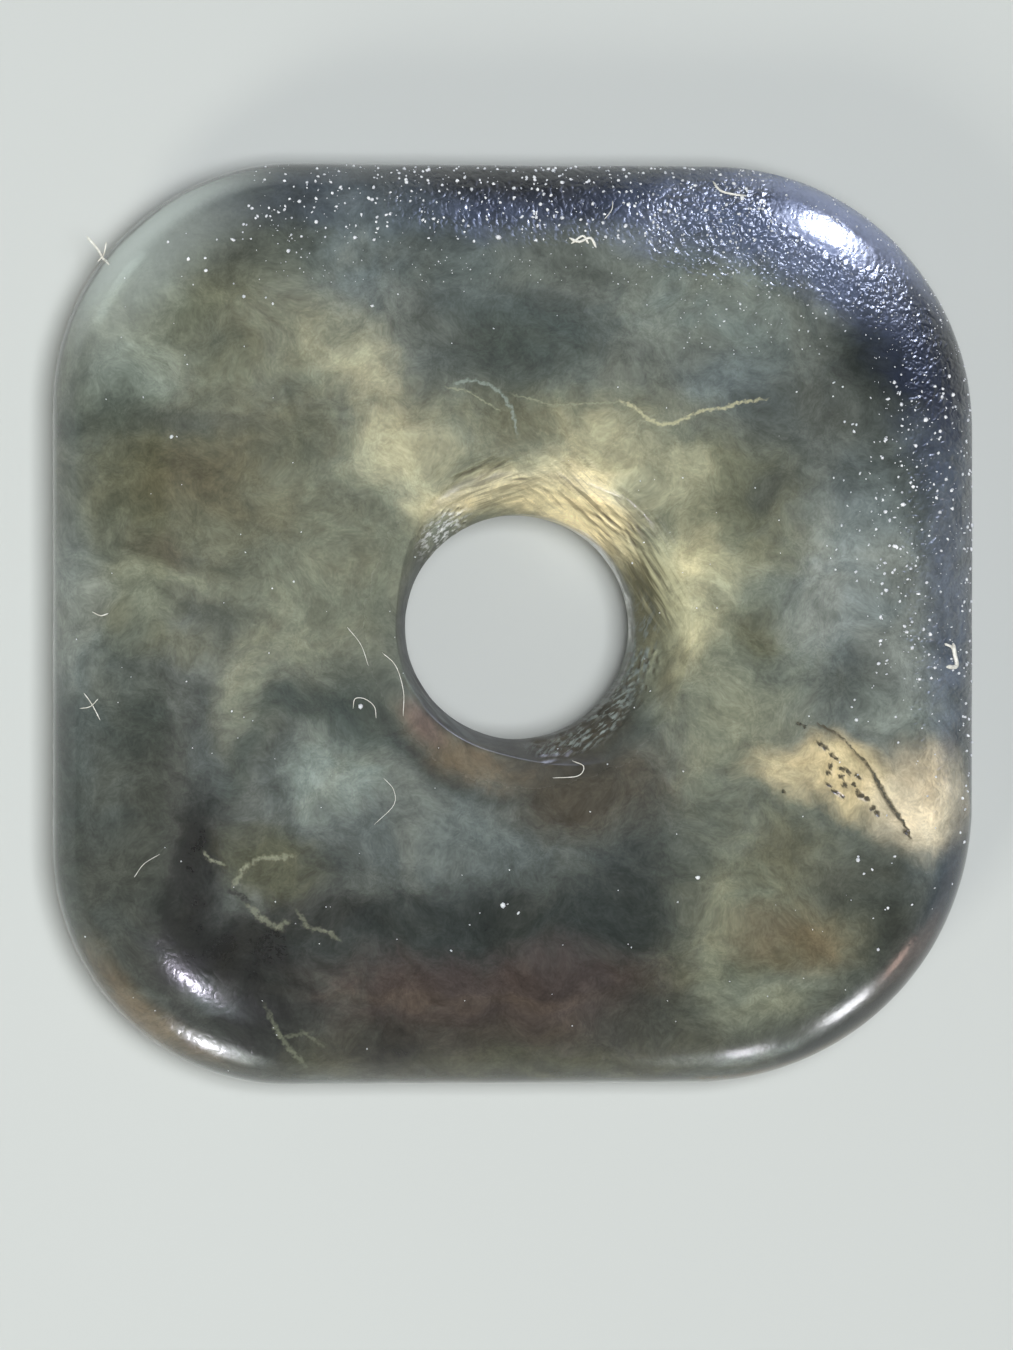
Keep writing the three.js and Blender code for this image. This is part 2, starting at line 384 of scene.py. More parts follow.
    Cloud("bore frost sheen", (131, 0.4), (8, 0.35), 0, Tint.MIST, 0.7, 0.7, 0.9, Chart.BORE),
    # Painted pale reflection on the bore's right wall.
    Cloud("bore wall right", (14, -0.02), (50, 0.13), 0, Tint.SNOW, 1.0, 0.4, 0.1, Chart.BORE),
)


@dataclass
class Plaque:
    """The jade plaque's smooth form.

    Attributes:
        low: The lowest corner of the solid.
        high: The highest corner of the solid.
        corner_radii: Radii of the outline's corners, from the top right one round anticlockwise.
        rim_width: How far in from the outline the round of the edge reaches.
        rim_fullness: Superellipse exponent of the edge's round.
        bore_centre: Where the bore's axis is.
        bore_radius: Radius of the bore's land.
        bore_stretch: How far wear has drawn the bore out across and along the plaque.
        land_length: Length of the straight land.
        mouth_radius: Radius where a funnel meets its face.
        spared: Share of the front funnel's width that its least worn side lacks.
        spared_side: Bearing of its least worn side, in degrees.
        funnel_fullness: Superellipse exponent of the back funnel.
        worn_fullness: The same for the front one, which wear has straightened.
        meridians: Divisions round the bore.
        crack_side: Bearing where the meridians are closest, in degrees.
        crack_spread: How far round from there they stay close, in degrees.
        crowding: How many times closer than elsewhere they are there, less one.
        funnel_steps: Steps down the front funnel.
        back_funnel_steps: Steps down the back funnel.
        land_steps: Steps along the bore's land.
        face_steps: Steps across the front face.
        face_lean: How far those steps crowd towards the funnel; 1 is even.
        back_face_steps: Steps across the back face.
        rim_steps: Steps round the front half of the edge.
        back_rim_steps: Steps round the back half of the edge.
    """

    low: np.ndarray
    high: np.ndarray
    corner_radii: tuple[float, ...] = (6.85, 6.4, 6.2, 7.3)
    rim_width: float = 3.4
    rim_fullness: float = 2.1
    bore_centre: tuple[float, float] = (0.06, -0.08)
    bore_radius: float = 2.95
    bore_stretch: tuple[float, float] = (1.025, 0.995)
    land_length: float = 1.3
    mouth_radius: float = 4.2
    spared: float = 0.66
    spared_side: float = 215.0
    funnel_fullness: float = 1.7
    worn_fullness: float = 1.25
    meridians: int = 430
    crack_side: float = -23.5
    crack_spread: float = 17.0
    crowding: float = 2.3
    funnel_steps: int = 44
    back_funnel_steps: int = 12
    land_steps: int = 6
    face_steps: int = 70
    face_lean: float = 1.25
    back_face_steps: int = 8
    rim_steps: int = 66
    back_rim_steps: int = 18

    @property
    def thickness(self) -> float:
        """The plaque's thickness."""
        return float(self.high[2] - self.low[2])

    @property
    def half(self) -> np.ndarray:
        """Half the plaque's width and length."""
        return (self.high[:2] - self.low[:2]) / 2

    @property
    def funnel_depth(self) -> float:
        """How far a funnel goes down, from its face to the land."""
        return (self.thickness - self.land_length) / 2

    def corner_radius(self, bearing: np.ndarray) -> np.ndarray:
        """Finds the radius of the outline's nearest corner.

        Args:
            bearing: Directions from the plaque's centre, in radians.

        Returns:
            The radius of the corner in each direction's quarter.
        """
        quarter = np.floor(np.mod(bearing, 2 * math.pi) / (math.pi / 2)).astype(int) % 4
        return np.array(self.corner_radii)[quarter]

    def outline(self, bearing: np.ndarray) -> tuple[np.ndarray, np.ndarray]:
        """Finds the outline and its outward normals.

        Args:
            bearing: Directions from the plaque's centre, in radians.

        Returns:
            The points of the outline and the normals there, one row for each bearing.
        """
        ray = np.stack([np.cos(bearing), np.sin(bearing)], -1)
        quarter = np.where(ray >= 0, 1.0, -1.0)
        point = ray * (self.half / np.maximum(np.abs(ray), 1e-9)).min(-1, keepdims=True)
        radius = self.corner_radius(bearing)
        centre = quarter * (self.half - radius[:, None])
        on_side = np.abs(point[:, 1]) <= np.abs(centre[:, 1])
        on_end = np.abs(point[:, 0]) <= np.abs(centre[:, 0])
        along = (ray * centre).sum(-1)
        reach = along + np.sqrt(np.maximum(along**2 - (centre**2).sum(-1) + radius**2, 0))
        on_arc = ~(on_side | on_end)
        point = np.where(on_arc[:, None], ray * reach[:, None], point)
        normal = np.where(on_arc[:, None], (point - centre) / radius[:, None], 0.0)
        normal[on_side] = quarter[on_side] * [1, 0]
        normal[on_end] = quarter[on_end] * [0, 1]
        return point, normal

    def inset(self, plan: np.ndarray) -> np.ndarray:
        """Measures how far in from the outline places are.

        Args:
            plan: Places in plan, x and y in the last axis.

        Returns:
            Their distances in from the outline.
        """
        radius = self.corner_radius(np.arctan2(plan[..., 1], plan[..., 0]))
        away = np.abs(plan)
        past = away - (self.half - radius[..., None])
        on_arc = (past > 0).all(-1)
        return np.where(on_arc, radius - np.linalg.norm(past, axis=-1), (self.half - away).min(-1))

    def funnel_width(self, bearing: np.ndarray) -> np.ndarray:
        """Finds how wide the front funnel is.

        Args:
            bearing: Directions from the bore's centre, in radians.

        Returns:
            Its width in each direction.
        """
        toward = np.cos(bearing - math.radians(self.spared_side))
        return (self.mouth_radius - self.bore_radius) * (1 - self.spared * smooth(-0.2, 0.8, toward))

    def front_height(self, plan: np.ndarray) -> np.ndarray:
        """Finds how high the smooth front stands.

        Args:
            plan: Places in plan, x and y in the last axis.

        Returns:
            The heights above the floor.
        """
        top = self.thickness
        rim = np.clip(1 - self.inset(plan) / self.rim_width, 0, 1) ** self.rim_fullness
        rim_drop = top / 2 * (1 - (1 - rim) ** (1 / self.rim_fullness))
        away = plan - np.array(self.bore_centre)
        width = self.funnel_width(np.arctan2(away[..., 1], away[..., 0]))
        out = np.linalg.norm(away, axis=-1) - self.bore_radius
        funnel = np.clip(1 - out / width, 0, 1) ** self.worn_fullness
        funnel_drop = self.funnel_depth * (1 - (1 - funnel) ** (1 / self.worn_fullness))
        return top - np.maximum(rim_drop, funnel_drop)

    @staticmethod
    def shoulder(width: float, depth: float, fullness: float, steps: int) -> np.ndarray:
        """Draws a rounded shoulder from a flat face down to a wall, with even steps along it.

        Args:
            width: How far from the wall it starts.
            depth: How far below the face it ends.
            fullness: Superellipse exponent: 1 is a bevel and 2 an elliptical round.
            steps: Number of steps.

        Returns:
            Rows of distance from the wall and drop below the face.
        """
        turn = np.linspace(0, math.pi / 2, 2001)
        from_wall = width * (1 - np.sin(turn) ** (2 / fullness))
        drop = depth * (1 - np.maximum(np.cos(turn), 0) ** (2 / fullness))
        run = np.concatenate([[0], np.cumsum(np.hypot(np.diff(from_wall), np.diff(drop)))])
        even = np.linspace(0, run[-1], steps + 1)
        return np.stack([np.interp(even, run, from_wall), np.interp(even, run, drop)], -1)

    def bearings(self) -> np.ndarray:
        """Spaces the meridians, closest at the crack's side of the plaque.

        Returns:
            One bearing for each meridian, in radians.
        """
        fine = np.linspace(0, 2 * math.pi, 4001)
        away = (fine - math.radians(self.crack_side) + math.pi) % (2 * math.pi) - math.pi
        near = np.exp(-((away[1:] / math.radians(self.crack_spread)) ** 2))
        run = np.concatenate([[0], np.cumsum(1 + self.crowding * near)])
        return np.interp(np.arange(self.meridians) / self.meridians * run[-1], run, fine)

    def sweep(self, rows: np.ndarray, foot: np.ndarray, way: np.ndarray, front: bool,
              share: np.ndarray | float = 1.0) -> list[np.ndarray]:
        """Sweeps a rounded shoulder round the plaque.

        Args:
            rows: The shoulder's rows of distance from its wall and drop below its face.
            foot: Where its wall stands in plan, one row for each bearing.
            way: The way from the wall to the face, one unit vector for each bearing.
            front: Whether it drops from the front face and not from the back one.
            share: The share of its width that it keeps at each bearing.

        Returns:
            One ring of points for each row.
        """
        top = self.thickness
        return [np.column_stack([foot + w * share * way, np.full(len(foot), top - d if front else d)])
                for w, d in rows]

    @staticmethod
    def between(start: np.ndarray, end: np.ndarray, steps: int, lean: float = 1.0) -> list[np.ndarray]:
        """Fills the space between two rings with further ones.

        Args:
            start: The ring before them.
            end: The ring after them.
            steps: Steps from the one to the other.
            lean: How far the steps crowd towards the end; 1 is even.

        Returns:
            The further rings alone.
        """
        shares = 1 - (1 - np.arange(1, steps) / steps) ** lean
        return [start + (end - start) * share for share in shares]

    def surface(self) -> np.ndarray:
        """Lays out the smooth surface as a closed grid.

        Returns:
            Points by station round the section, by meridian, by axis.
        """
        bearing = self.bearings()
        edge, normal = self.outline(bearing)
        ray = np.stack([np.cos(bearing), np.sin(bearing)], -1)
        wall = np.array(self.bore_centre) + self.bore_radius * ray * np.array(self.bore_stretch)
        funnel = (self.mouth_radius - self.bore_radius, self.funnel_depth)
        kept = self.funnel_width(bearing)[:, None] / funnel[0]
        worn_slope = self.shoulder(*funnel, self.worn_fullness, self.funnel_steps)
        back_slope = self.shoulder(*funnel, self.funnel_fullness, self.back_funnel_steps)
        rim = (self.rim_width, self.thickness / 2, self.rim_fullness)
        front_round = self.shoulder(*rim, self.rim_steps)
        back_round = self.shoulder(*rim, self.back_rim_steps)
        front_funnel = self.sweep(worn_slope, wall, ray, True, kept)
        back_funnel = self.sweep(back_slope[::-1], wall, ray, False)
        back_rim = self.sweep(back_round, edge, -normal, False)
        front_rim = self.sweep(front_round[:-1][::-1], edge, -normal, True)
        land = self.between(front_funnel[-1], back_funnel[0], self.land_steps)
        back_face = self.between(back_funnel[-1], back_rim[0], self.back_face_steps)
        front_face = self.between(front_rim[-1], front_funnel[0], self.face_steps, self.face_lean)
        rings = [*front_funnel, *land, *back_funnel, *back_face, *back_rim, *front_rim, *front_face]
        return np.array(rings)


@dataclass(frozen=True)
class Strokes:
    """Straight grinding strokes left in one stretch of the bore's mouth.

    Attributes:
        name: Where they are.
        bearings: The stretch of bearings that their middles lie in, in degrees.
        clear: How far out from the bore's wall their middles lie, least and most.
        count: How many there are.
        length: Their half lengths, least and most.
        depth: Their depths, least and most.
        width: Their half widths, least and most.
        lean: How far they turn from the bore's tangent, anticlockwise, in degrees.
        burr: Height of the burr beside a stroke, as a share of its depth.
        burr_away: How far from the stroke's middle the burr is, in half widths.
    """

    name: str
    bearings: tuple[float, float]
    clear: tuple[float, float]
    count: int
    length: tuple[float, float]
    depth: tuple[float, float]
    width: tuple[float, float]
    lean: float = 0.0
    burr: float = 0.4
    burr_away: float = 1.9

    def carve(self, away: np.ndarray, wall: float, rng: np.random.Generator) -> np.ndarray:
        """Cuts the strokes.

        Args:
            away: The surface's points in plan, from the bore's centre.
            wall: Radius of the bore's wall.
            rng: Source of the chance differences.

        Returns:
            How far each point moves outwards from the stone.
        """
        lift = np.zeros(away.shape[:-1])
        for _ in range(self.count):
            bearing = math.radians(rng.uniform(*self.bearings))
            clear = wall + rng.uniform(*self.clear)
            length, depth, width = (rng.uniform(*pair) for pair in (self.length, self.depth, self.width))
            turn = bearing + math.pi / 2 + math.radians(self.lean + rng.normal(0, 5))
            gap = away - clear * np.array([math.cos(bearing), math.sin(bearing)])
            run = gap @ np.array([math.cos(turn), math.sin(turn)])
            bow = rng.normal(0, 0.03) * run**2
            side = gap @ np.array([-math.sin(turn), math.cos(turn)]) - bow
            near = (np.abs(run) < length) & (np.abs(side) < 4 * width)
            fade = (1 - (run[near] / length) ** 2) ** 2
            side = np.abs(side[near]) / width
            burr = self.burr * np.exp(-((side - self.burr_away) ** 2))
            lift[near] += depth * fade * (burr - np.exp(-side**2))
        return lift


@dataclass(frozen=True)
class Vein:
    """A thin line of another colour in the stone.

    Attributes:
        name: What it is.
        path: Its turning points in plan.
        width: Its half width.
        tint: Its colour.
        strength: Share of the colour at its middle.
    """

    name: str
    path: tuple[tuple[float, float], ...]
    width: float
    tint: Tint
    strength: float = 0.6

    @property
    def clouds(self) -> tuple[Cloud, ...]:
        """The vein as thin clouds, leg by leg."""
        return tuple(Cloud.along(self.name, start, end, self.width, self.tint, self.strength, 0.8, 0.9)
                     for start, end in zip(self.path, self.path[1:]))


@dataclass(frozen=True)
class Pit:
    """A small pit in the polish.

    Attributes:
        place: Its centre in plan.
        reach: Its half sizes before it is turned.
        turn: Its turn, in degrees anticlockwise.
        depth: Its depth.
    """

    place: tuple[float, float]
    reach: tuple[float, float]
    turn: float = 0.0
    depth: float = 0.07

    def carve(self, plan: np.ndarray) -> np.ndarray:
        """Sinks the pit.

        Args:
            plan: Places in plan, x and y in the last axis.

        Returns:
            How far each point moves outwards from the stone.
        """
        turn = math.radians(self.turn)
        away = plan - np.array(self.place)
        along = away @ np.array([math.cos(turn), math.sin(turn)]) / self.reach[0]
        across = away @ np.array([-math.sin(turn), math.cos(turn)]) / self.reach[1]
        return -self.depth * smooth(1.5, 0.3, np.hypot(along, across))

    @property
    def stain(self) -> Cloud:
        """The dirt in the pit."""
        return Cloud("pit", self.place, self.reach, self.turn, Tint.INK, 0.85, 0.5, 0.9, Chart.CRISP)


@dataclass(frozen=True)
class Crack:
    """A crack, a hairline at its head and a rough band towards its foot.

    Attributes:
        path: Its turning points in plan, with its half width at each.
        depth: Its depth at its foot.
        step: How much lower the stone stands on its right, looking along it.
        step_reach: How far from the crack that step fades out.
        full_width: Half width from which the crack has its full depth.
        least_width: Half width that it is never carved narrower than.
        heart_width: Half width past which its dirt has a darker middle.
    """

    path: tuple[tuple[float, float, float], ...]
    depth: float = 0.05
    step: float = 0.012
    step_reach: float = 0.5
    full_width: float = 0.055
    least_width: float = 0.04
    heart_width: float = 0.045

    def carve(self, plan: np.ndarray) -> np.ndarray:
        """Opens the crack.

        Args:
            plan: Places in plan, x and y in the last axis.

        Returns:
            How far each point moves outwards from the stone.
        """
        nearest = np.full(plan.shape[:-1], np.inf)
        width = np.ones(plan.shape[:-1])
        right = np.zeros(plan.shape[:-1], bool)
        turns = np.array(self.path)
        for start, end in zip(turns[:-1], turns[1:]):
            leg = (end - start)[:2]
            share = np.clip((plan - start[:2]) @ leg / (leg @ leg), 0, 1)
            gap = plan - start[:2] - share[..., None] * leg
            away = np.linalg.norm(gap, axis=-1)
            closer = away < nearest
            nearest[closer] = away[closer]
            width[closer] = (start[2] + (end[2] - start[2]) * share)[closer]
            right[closer] = (leg[0] * gap[..., 1] - leg[1] * gap[..., 0] < 0)[closer]
        drop = np.where(right, self.step * smooth(self.step_reach, 0.0, nearest), 0.0)
        depth = self.depth * np.minimum(width / self.full_width, 1)
        return -depth * np.exp(-((nearest / np.maximum(width, self.least_width)) ** 2)) - drop

    @property
    def stains(self) -> tuple[Cloud, ...]:
        """The dirt in the crack, leg by leg.

        Returns:
            One cloud for each leg, and a darker one in each wide leg's middle.
        """
        made = []
        for start, end in zip(self.path, self.path[1:]):
            girth = (start[2] + end[2]) / 2
            dirt = Cloud.along("crack", start, end, girth, Tint.BARK, 0.8, 0.5, 0.8)
            made.append(dirt)
            if girth > self.heart_width:
                heart = (dirt.reach[0], girth * 0.5)
                made.append(replace(dirt, name="crack heart", reach=heart, tint=Tint.SLATE, strength=0.8))
        return tuple(made)


STROKES = (
    Strokes("top", (60, 92), (0.2, 1.6), 34, (0.3, 1.2), (0.004, 0.014), (0.03, 0.045), -20),
    Strokes("upper right", (34, 62), (0.1, 1.4), 44, (0.3, 1.1), (0.004, 0.013), (0.03, 0.045), 0),
    Strokes("right", (2, 34), (0.2, 1.1), 30, (0.3, 1.0), (0.004, 0.013), (0.03, 0.045), 9),
    Strokes("dark cuts", (36, 52), (0.35, 0.95), 12, (0.15, 0.45), (0.02, 0.035), (0.03, 0.042), -4),
    Strokes("upper left", (92, 128), (0.25, 1.4), 18, (0.2, 0.8), (0.005, 0.018), (0.03, 0.04), 0),
    Strokes("long scratches", (96, 112), (1.0, 1.4), 4, (0.5, 0.9), (0.02, 0.03), (0.03, 0.035), 12),
    Strokes("lower left", (200, 242), (0.1, 0.6), 8, (0.5, 1.1), (0.006, 0.016), (0.03, 0.045), 0),
    Strokes("lower right", (-84, -10), (0.03, 0.65), 210, (0.05, 0.2), (0.01, 0.03), (0.028, 0.045), 0),
    Strokes("frosted patch", (118, 146), (0.08, 0.8), 90, (0.05, 0.14), (0.01, 0.025), (0.028, 0.04), 0),
    Strokes("all round", (-90, 270), (0.0, 1.2), 90, (0.2, 0.9), (0.002, 0.006), (0.03, 0.05), 0),
)

CRACK = Crack(((7.7, -2.62, 0.02), (8.1, -2.82, 0.03), (8.4, -3.05, 0.02), (8.65, -3.35, 0.022),
               (8.9, -3.58, 0.03), (9.1, -3.85, 0.04), (9.25, -4.15, 0.055), (9.45, -4.5, 0.06),
               (9.68, -4.85, 0.06), (9.95, -5.2, 0.035), (10.15, -5.6, 0.02)))

PITS = (
    Pit((7.72, -3.12), (0.1, 0.04), -20),
    Pit((7.86, -3.22), (0.06, 0.06), 20),
    Pit((8.02, -3.42), (0.05, 0.07), 10),
    Pit((8.13, -3.5), (0.06, 0.04), -30),
    Pit((8.0, -3.7), (0.04, 0.1), -15),
    Pit((7.93, -3.88), (0.05, 0.06), 20),
    Pit((8.3, -3.78), (0.1, 0.035), -5),
    Pit((8.46, -3.86), (0.07, 0.05), -35),
    Pit((8.26, -3.98), (0.05, 0.06), 30),
    Pit((8.7, -3.98), (0.12, 0.03), -25),
    Pit((8.35, -4.2), (0.06, 0.07), -30),
    Pit((8.6, -4.18), (0.05, 0.05)),
    Pit((8.68, -4.35), (0.05, 0.04), 30),
    Pit((7.95, -4.2), (0.09, 0.03), -25),
    Pit((8.12, -4.38), (0.1, 0.035), -15),
    Pit((8.3, -4.5), (0.06, 0.035), -15),
    Pit((8.78, -4.47), (0.1, 0.06), -15, 0.1),
    Pit((8.95, -4.56), (0.07, 0.05), -30, 0.1),
    Pit((9.1, -4.8), (0.08, 0.05), 40),
    Pit((9.22, -4.93), (0.05, 0.08), 20, 0.09),
    Pit((10.02, -5.42), (0.06, 0.06), 0, 0.12),
    Pit((6.75, -4.35), (0.035, 0.035)),
    Pit((7.15, -2.6), (0.1, 0.035), -10, 0.04),
    Pit((7.3, -2.68), (0.05, 0.04), 20, 0.04),
)

VEINS = (
    Vein("north vein west", ((-1.85, 6.2), (-1.4, 6.3), (-0.9, 6.15), (-0.6, 5.9), (-0.35, 5.5),
                             (-0.25, 5.0)), 0.035, Tint.MIST, 0.7),
    Vein("north vein loop", ((-2.0, 6.1), (-1.5, 6.0), (-1.1, 5.75), (-0.75, 5.55)), 0.025, Tint.SAGE, 0.6),
    Vein("north vein", ((2.5, 5.75), (2.85, 5.6), (3.2, 5.3), (3.5, 5.18), (3.9, 5.2), (4.3, 5.4)), 0.04,
         Tint.STRAW, 0.75),
    Vein("north vein east", ((4.3, 5.4), (4.7, 5.55), (5.2, 5.6), (5.6, 5.75), (6.15, 5.82)), 0.035,
         Tint.STRAW, 0.65),
    Vein("north vein middle", ((-0.2, 5.9), (0.7, 5.65), (1.6, 5.7), (2.5, 5.75)), 0.025, Tint.SAGE, 0.5),
    Vein("olive vein", ((-7.55, -6.7), (-7.3, -6.3), (-6.9, -6.05), (-6.5, -6.05), (-6.1, -6.0)), 0.06,
         Tint.SAGE, 0.45),
    Vein("olive vein spur", ((-8.35, -5.9), (-8.2, -6.1), (-7.9, -6.2)), 0.04, Tint.SAGE, 0.5),
    Vein("dark seam", ((-7.7, -6.9), (-7.35, -7.05), (-7.1, -7.3)), 0.06, Tint.INK, 0.7),
    Vein("curl edge", ((-8.5, -5.1), (-8.9, -5.9), (-9.2, -6.8), (-9.3, -7.6), (-8.9, -8.2),
                       (-8.3, -8.6)), 0.14, Tint.INK, 0.55),
    Vein("low vein", ((-7.2, -7.3), (-6.9, -7.6), (-6.45, -7.85), (-6.2, -7.7)), 0.07, Tint.SAGE, 0.35),
    Vein("low vein east", ((-5.9, -7.5), (-5.65, -7.85), (-5.2, -7.95), (-4.9, -8.15)), 0.05, Tint.SAGE, 0.3),
    Vein("foot vein", ((-6.7, -10.0), (-6.4, -10.6), (-6.0, -11.1), (-5.7, -11.4)), 0.06, Tint.FERN, 0.5),
    Vein("foot vein spur", ((-6.3, -10.7), (-5.7, -10.6), (-5.3, -10.9)), 0.04, Tint.FERN, 0.4),
)


@dataclass(frozen=True)
class Peel:
    """Pebbled skin on one stretch of the rim.

    Attributes:
        name: Where it is.
        bearing: Its middle, in degrees.
        inset: How far in from the outline its middle is.
        reach: Its half extents, in degrees and in distance.
        share: How strong it is.
    """

    name: str
    bearing: float
    inset: float
    reach: tuple[float, float]
    share: float

    def cover(self, bearing: np.ndarray, inset: np.ndarray) -> np.ndarray:
        """Works out its share at places on the rim.

        Args:
            bearing: Their directions from the plaque's centre, in degrees.
            inset: Their distances in from the outline.

        Returns:
            The share of pebbling at each place.
        """
        swing = ((bearing - self.bearing + 180) % 360 - 180) / self.reach[0]
        away = np.hypot(swing, (inset - self.inset) / self.reach[1])
        return self.share * smooth(1.15, 0.75, away)


PEELS = (
    Peel("upper right corner", 57, 1.4, (18, 1.8), 1.0),
    Peel("top band", 82, 1.0, (30, 1.3), 0.32),
    Peel("right rim", 8, 1.1, (38, 1.2), 0.6),
    Peel("foot left", 229, 2.0, (14, 2.0), 0.04),
    Peel("foot left edge", 236, 0.5, (14, 0.6), 0.08),
)

HANDLED = Peel("upper right corner's crown", 52, 0.8, (9, 0.9), 0.92)


@dataclass
class Relief:
    """What the hand and the years left in the plaque's surface.

    Attributes:
        plaque: The form it lies on.
        seed: Seed of its chance differences.
        waviness: Height of the hand polish's waves.
        wave_lengths: Lengths of those waves, longest and highest first.
        orange_peel: Share of pebbled skin all over.
        peel_height: Shares of the thickness between which the pebbled stretches fade in.
        cut_height: The same for the cuts of the front.
    """

    plaque: Plaque
    seed: int = 7
    waviness: float = 0.004
    wave_lengths: tuple[float, ...] = (7.0, 4.5, 3.0, 2.2, 1.5, 1.1)
    orange_peel: float = 0.03
    peel_height: tuple[float, float] = (0.3, 0.5)
    cut_height: tuple[float, float] = (0.42, 0.6)

    def peel(self, points: np.ndarray) -> np.ndarray:
        """Works out how pebbled the skin is.

        Args:
            points: The smooth surface, with axes in the last axis.

        Returns:
            The share of pebbling at each point.
        """
        plan = points[..., :2]
        bearing = np.degrees(np.arctan2(plan[..., 1], plan[..., 0]))
        inset = self.plaque.inset(plan)
        front = smooth(*self.peel_height, points[..., 2] / self.plaque.thickness)
        covers = [peel.cover(bearing, inset) * front for peel in PEELS]
        worn = 1 - HANDLED.cover(bearing, inset)
        return np.maximum.reduce([*covers, np.full(inset.shape, self.orange_peel)]) * worn

    def cuts(self, points: np.ndarray) -> np.ndarray:
        """Works out the strokes, the crack and the pits of the front.

        Args:
            points: The smooth surface, with axes in the last axis.

        Returns:
            How far each point moves outwards from the stone.
        """
        rng = np.random.default_rng(self.seed)
        plan = points[..., :2]
        away = plan - np.array(self.plaque.bore_centre)
        front = smooth(*self.cut_height, points[..., 2] / self.plaque.thickness)
        lift = sum(strokes.carve(away, self.plaque.bore_radius, rng) for strokes in STROKES)
        return front * (lift + CRACK.carve(plan) + sum(pit.carve(plan) for pit in PITS))

    def waves(self, points: np.ndarray) -> np.ndarray:
        """Leaves the shallow waves of polishing by hand.

        Args:
            points: The smooth surface, with axes in the last axis.

        Returns:
            How far each point moves outwards from the stone.
        """
        rng = np.random.default_rng(self.seed + 1)
        lift = np.zeros(points.shape[:-1])
        for length in self.wave_lengths:
            way = rng.normal(size=3)
            way /= np.linalg.norm(way)
            start = rng.uniform(0, 2 * math.pi)
            share = length / self.wave_lengths[0]
            lift += share * np.sin(points @ way * (2 * math.pi / length) + start)
        return lift * self.waviness


def grid_normals(points: np.ndarray) -> np.ndarray:
    """Finds the outward normals of a closed grid.

    Args:
        points: Points by station, by meridian, by axis.

    Returns:
        Unit normals in the same layout.
    """
    along = np.roll(points, -1, 0) - np.roll(points, 1, 0)
    round_ = np.roll(points, -1, 1) - np.roll(points, 1, 1)
    normal = np.cross(round_, along)
    return normal / np.linalg.norm(normal, axis=-1, keepdims=True)


def grid_mesh(name: str, points: np.ndarray) -> bpy.types.Object:
    """Makes an object from a grid that closes on itself both ways.

    Args:
        name: The object's name.
        points: Points by station, by meridian, by axis, in millimetres.

    Returns:
        The new object, linked to the scene.
    """
    stations, meridians = points.shape[:2]
    index = np.arange(stations * meridians).reshape(stations, meridians)
    after, beside = np.roll(index, -1, 0), np.roll(index, -1, 1)
    across = np.roll(after, -1, 1)
    faces = np.stack([index, beside, across, after], -1).reshape(-1, 4)
    return mesh_object(name, points.reshape(-1, 3), faces)


def mesh_object(name: str, points: np.ndarray, faces: np.ndarray) -> bpy.types.Object:
    """Makes a smooth-shaded mesh object.

    Args:
        name: The object's name.
        points: Its vertices, in millimetres.
        faces: Its faces, one row of vertex numbers each.

    Returns:
        The new object, linked to the scene.
    """
    mesh = bpy.data.meshes.new(name)
    mesh.from_pydata((points * MM).tolist(), [], faces.tolist())
    mesh.polygons.foreach_set("use_smooth", np.ones(len(faces), bool))
    mesh.update()
    piece = bpy.data.objects.new(name, mesh)
    bpy.context.scene.collection.objects.link(piece)
    return piece


def note(piece: bpy.types.Object, name: str, values: np.ndarray) -> None:
    """Keeps one number for each vertex, for the finish to read.

    Args:
        piece: The object.
        name: The name the finish knows it by.
        values: The numbers, one for each vertex.
    """
    layer = piece.data.attributes.new(name, "FLOAT", "POINT")
    layer.data.foreach_set("value", np.ascontiguousarray(values, np.float32).ravel())


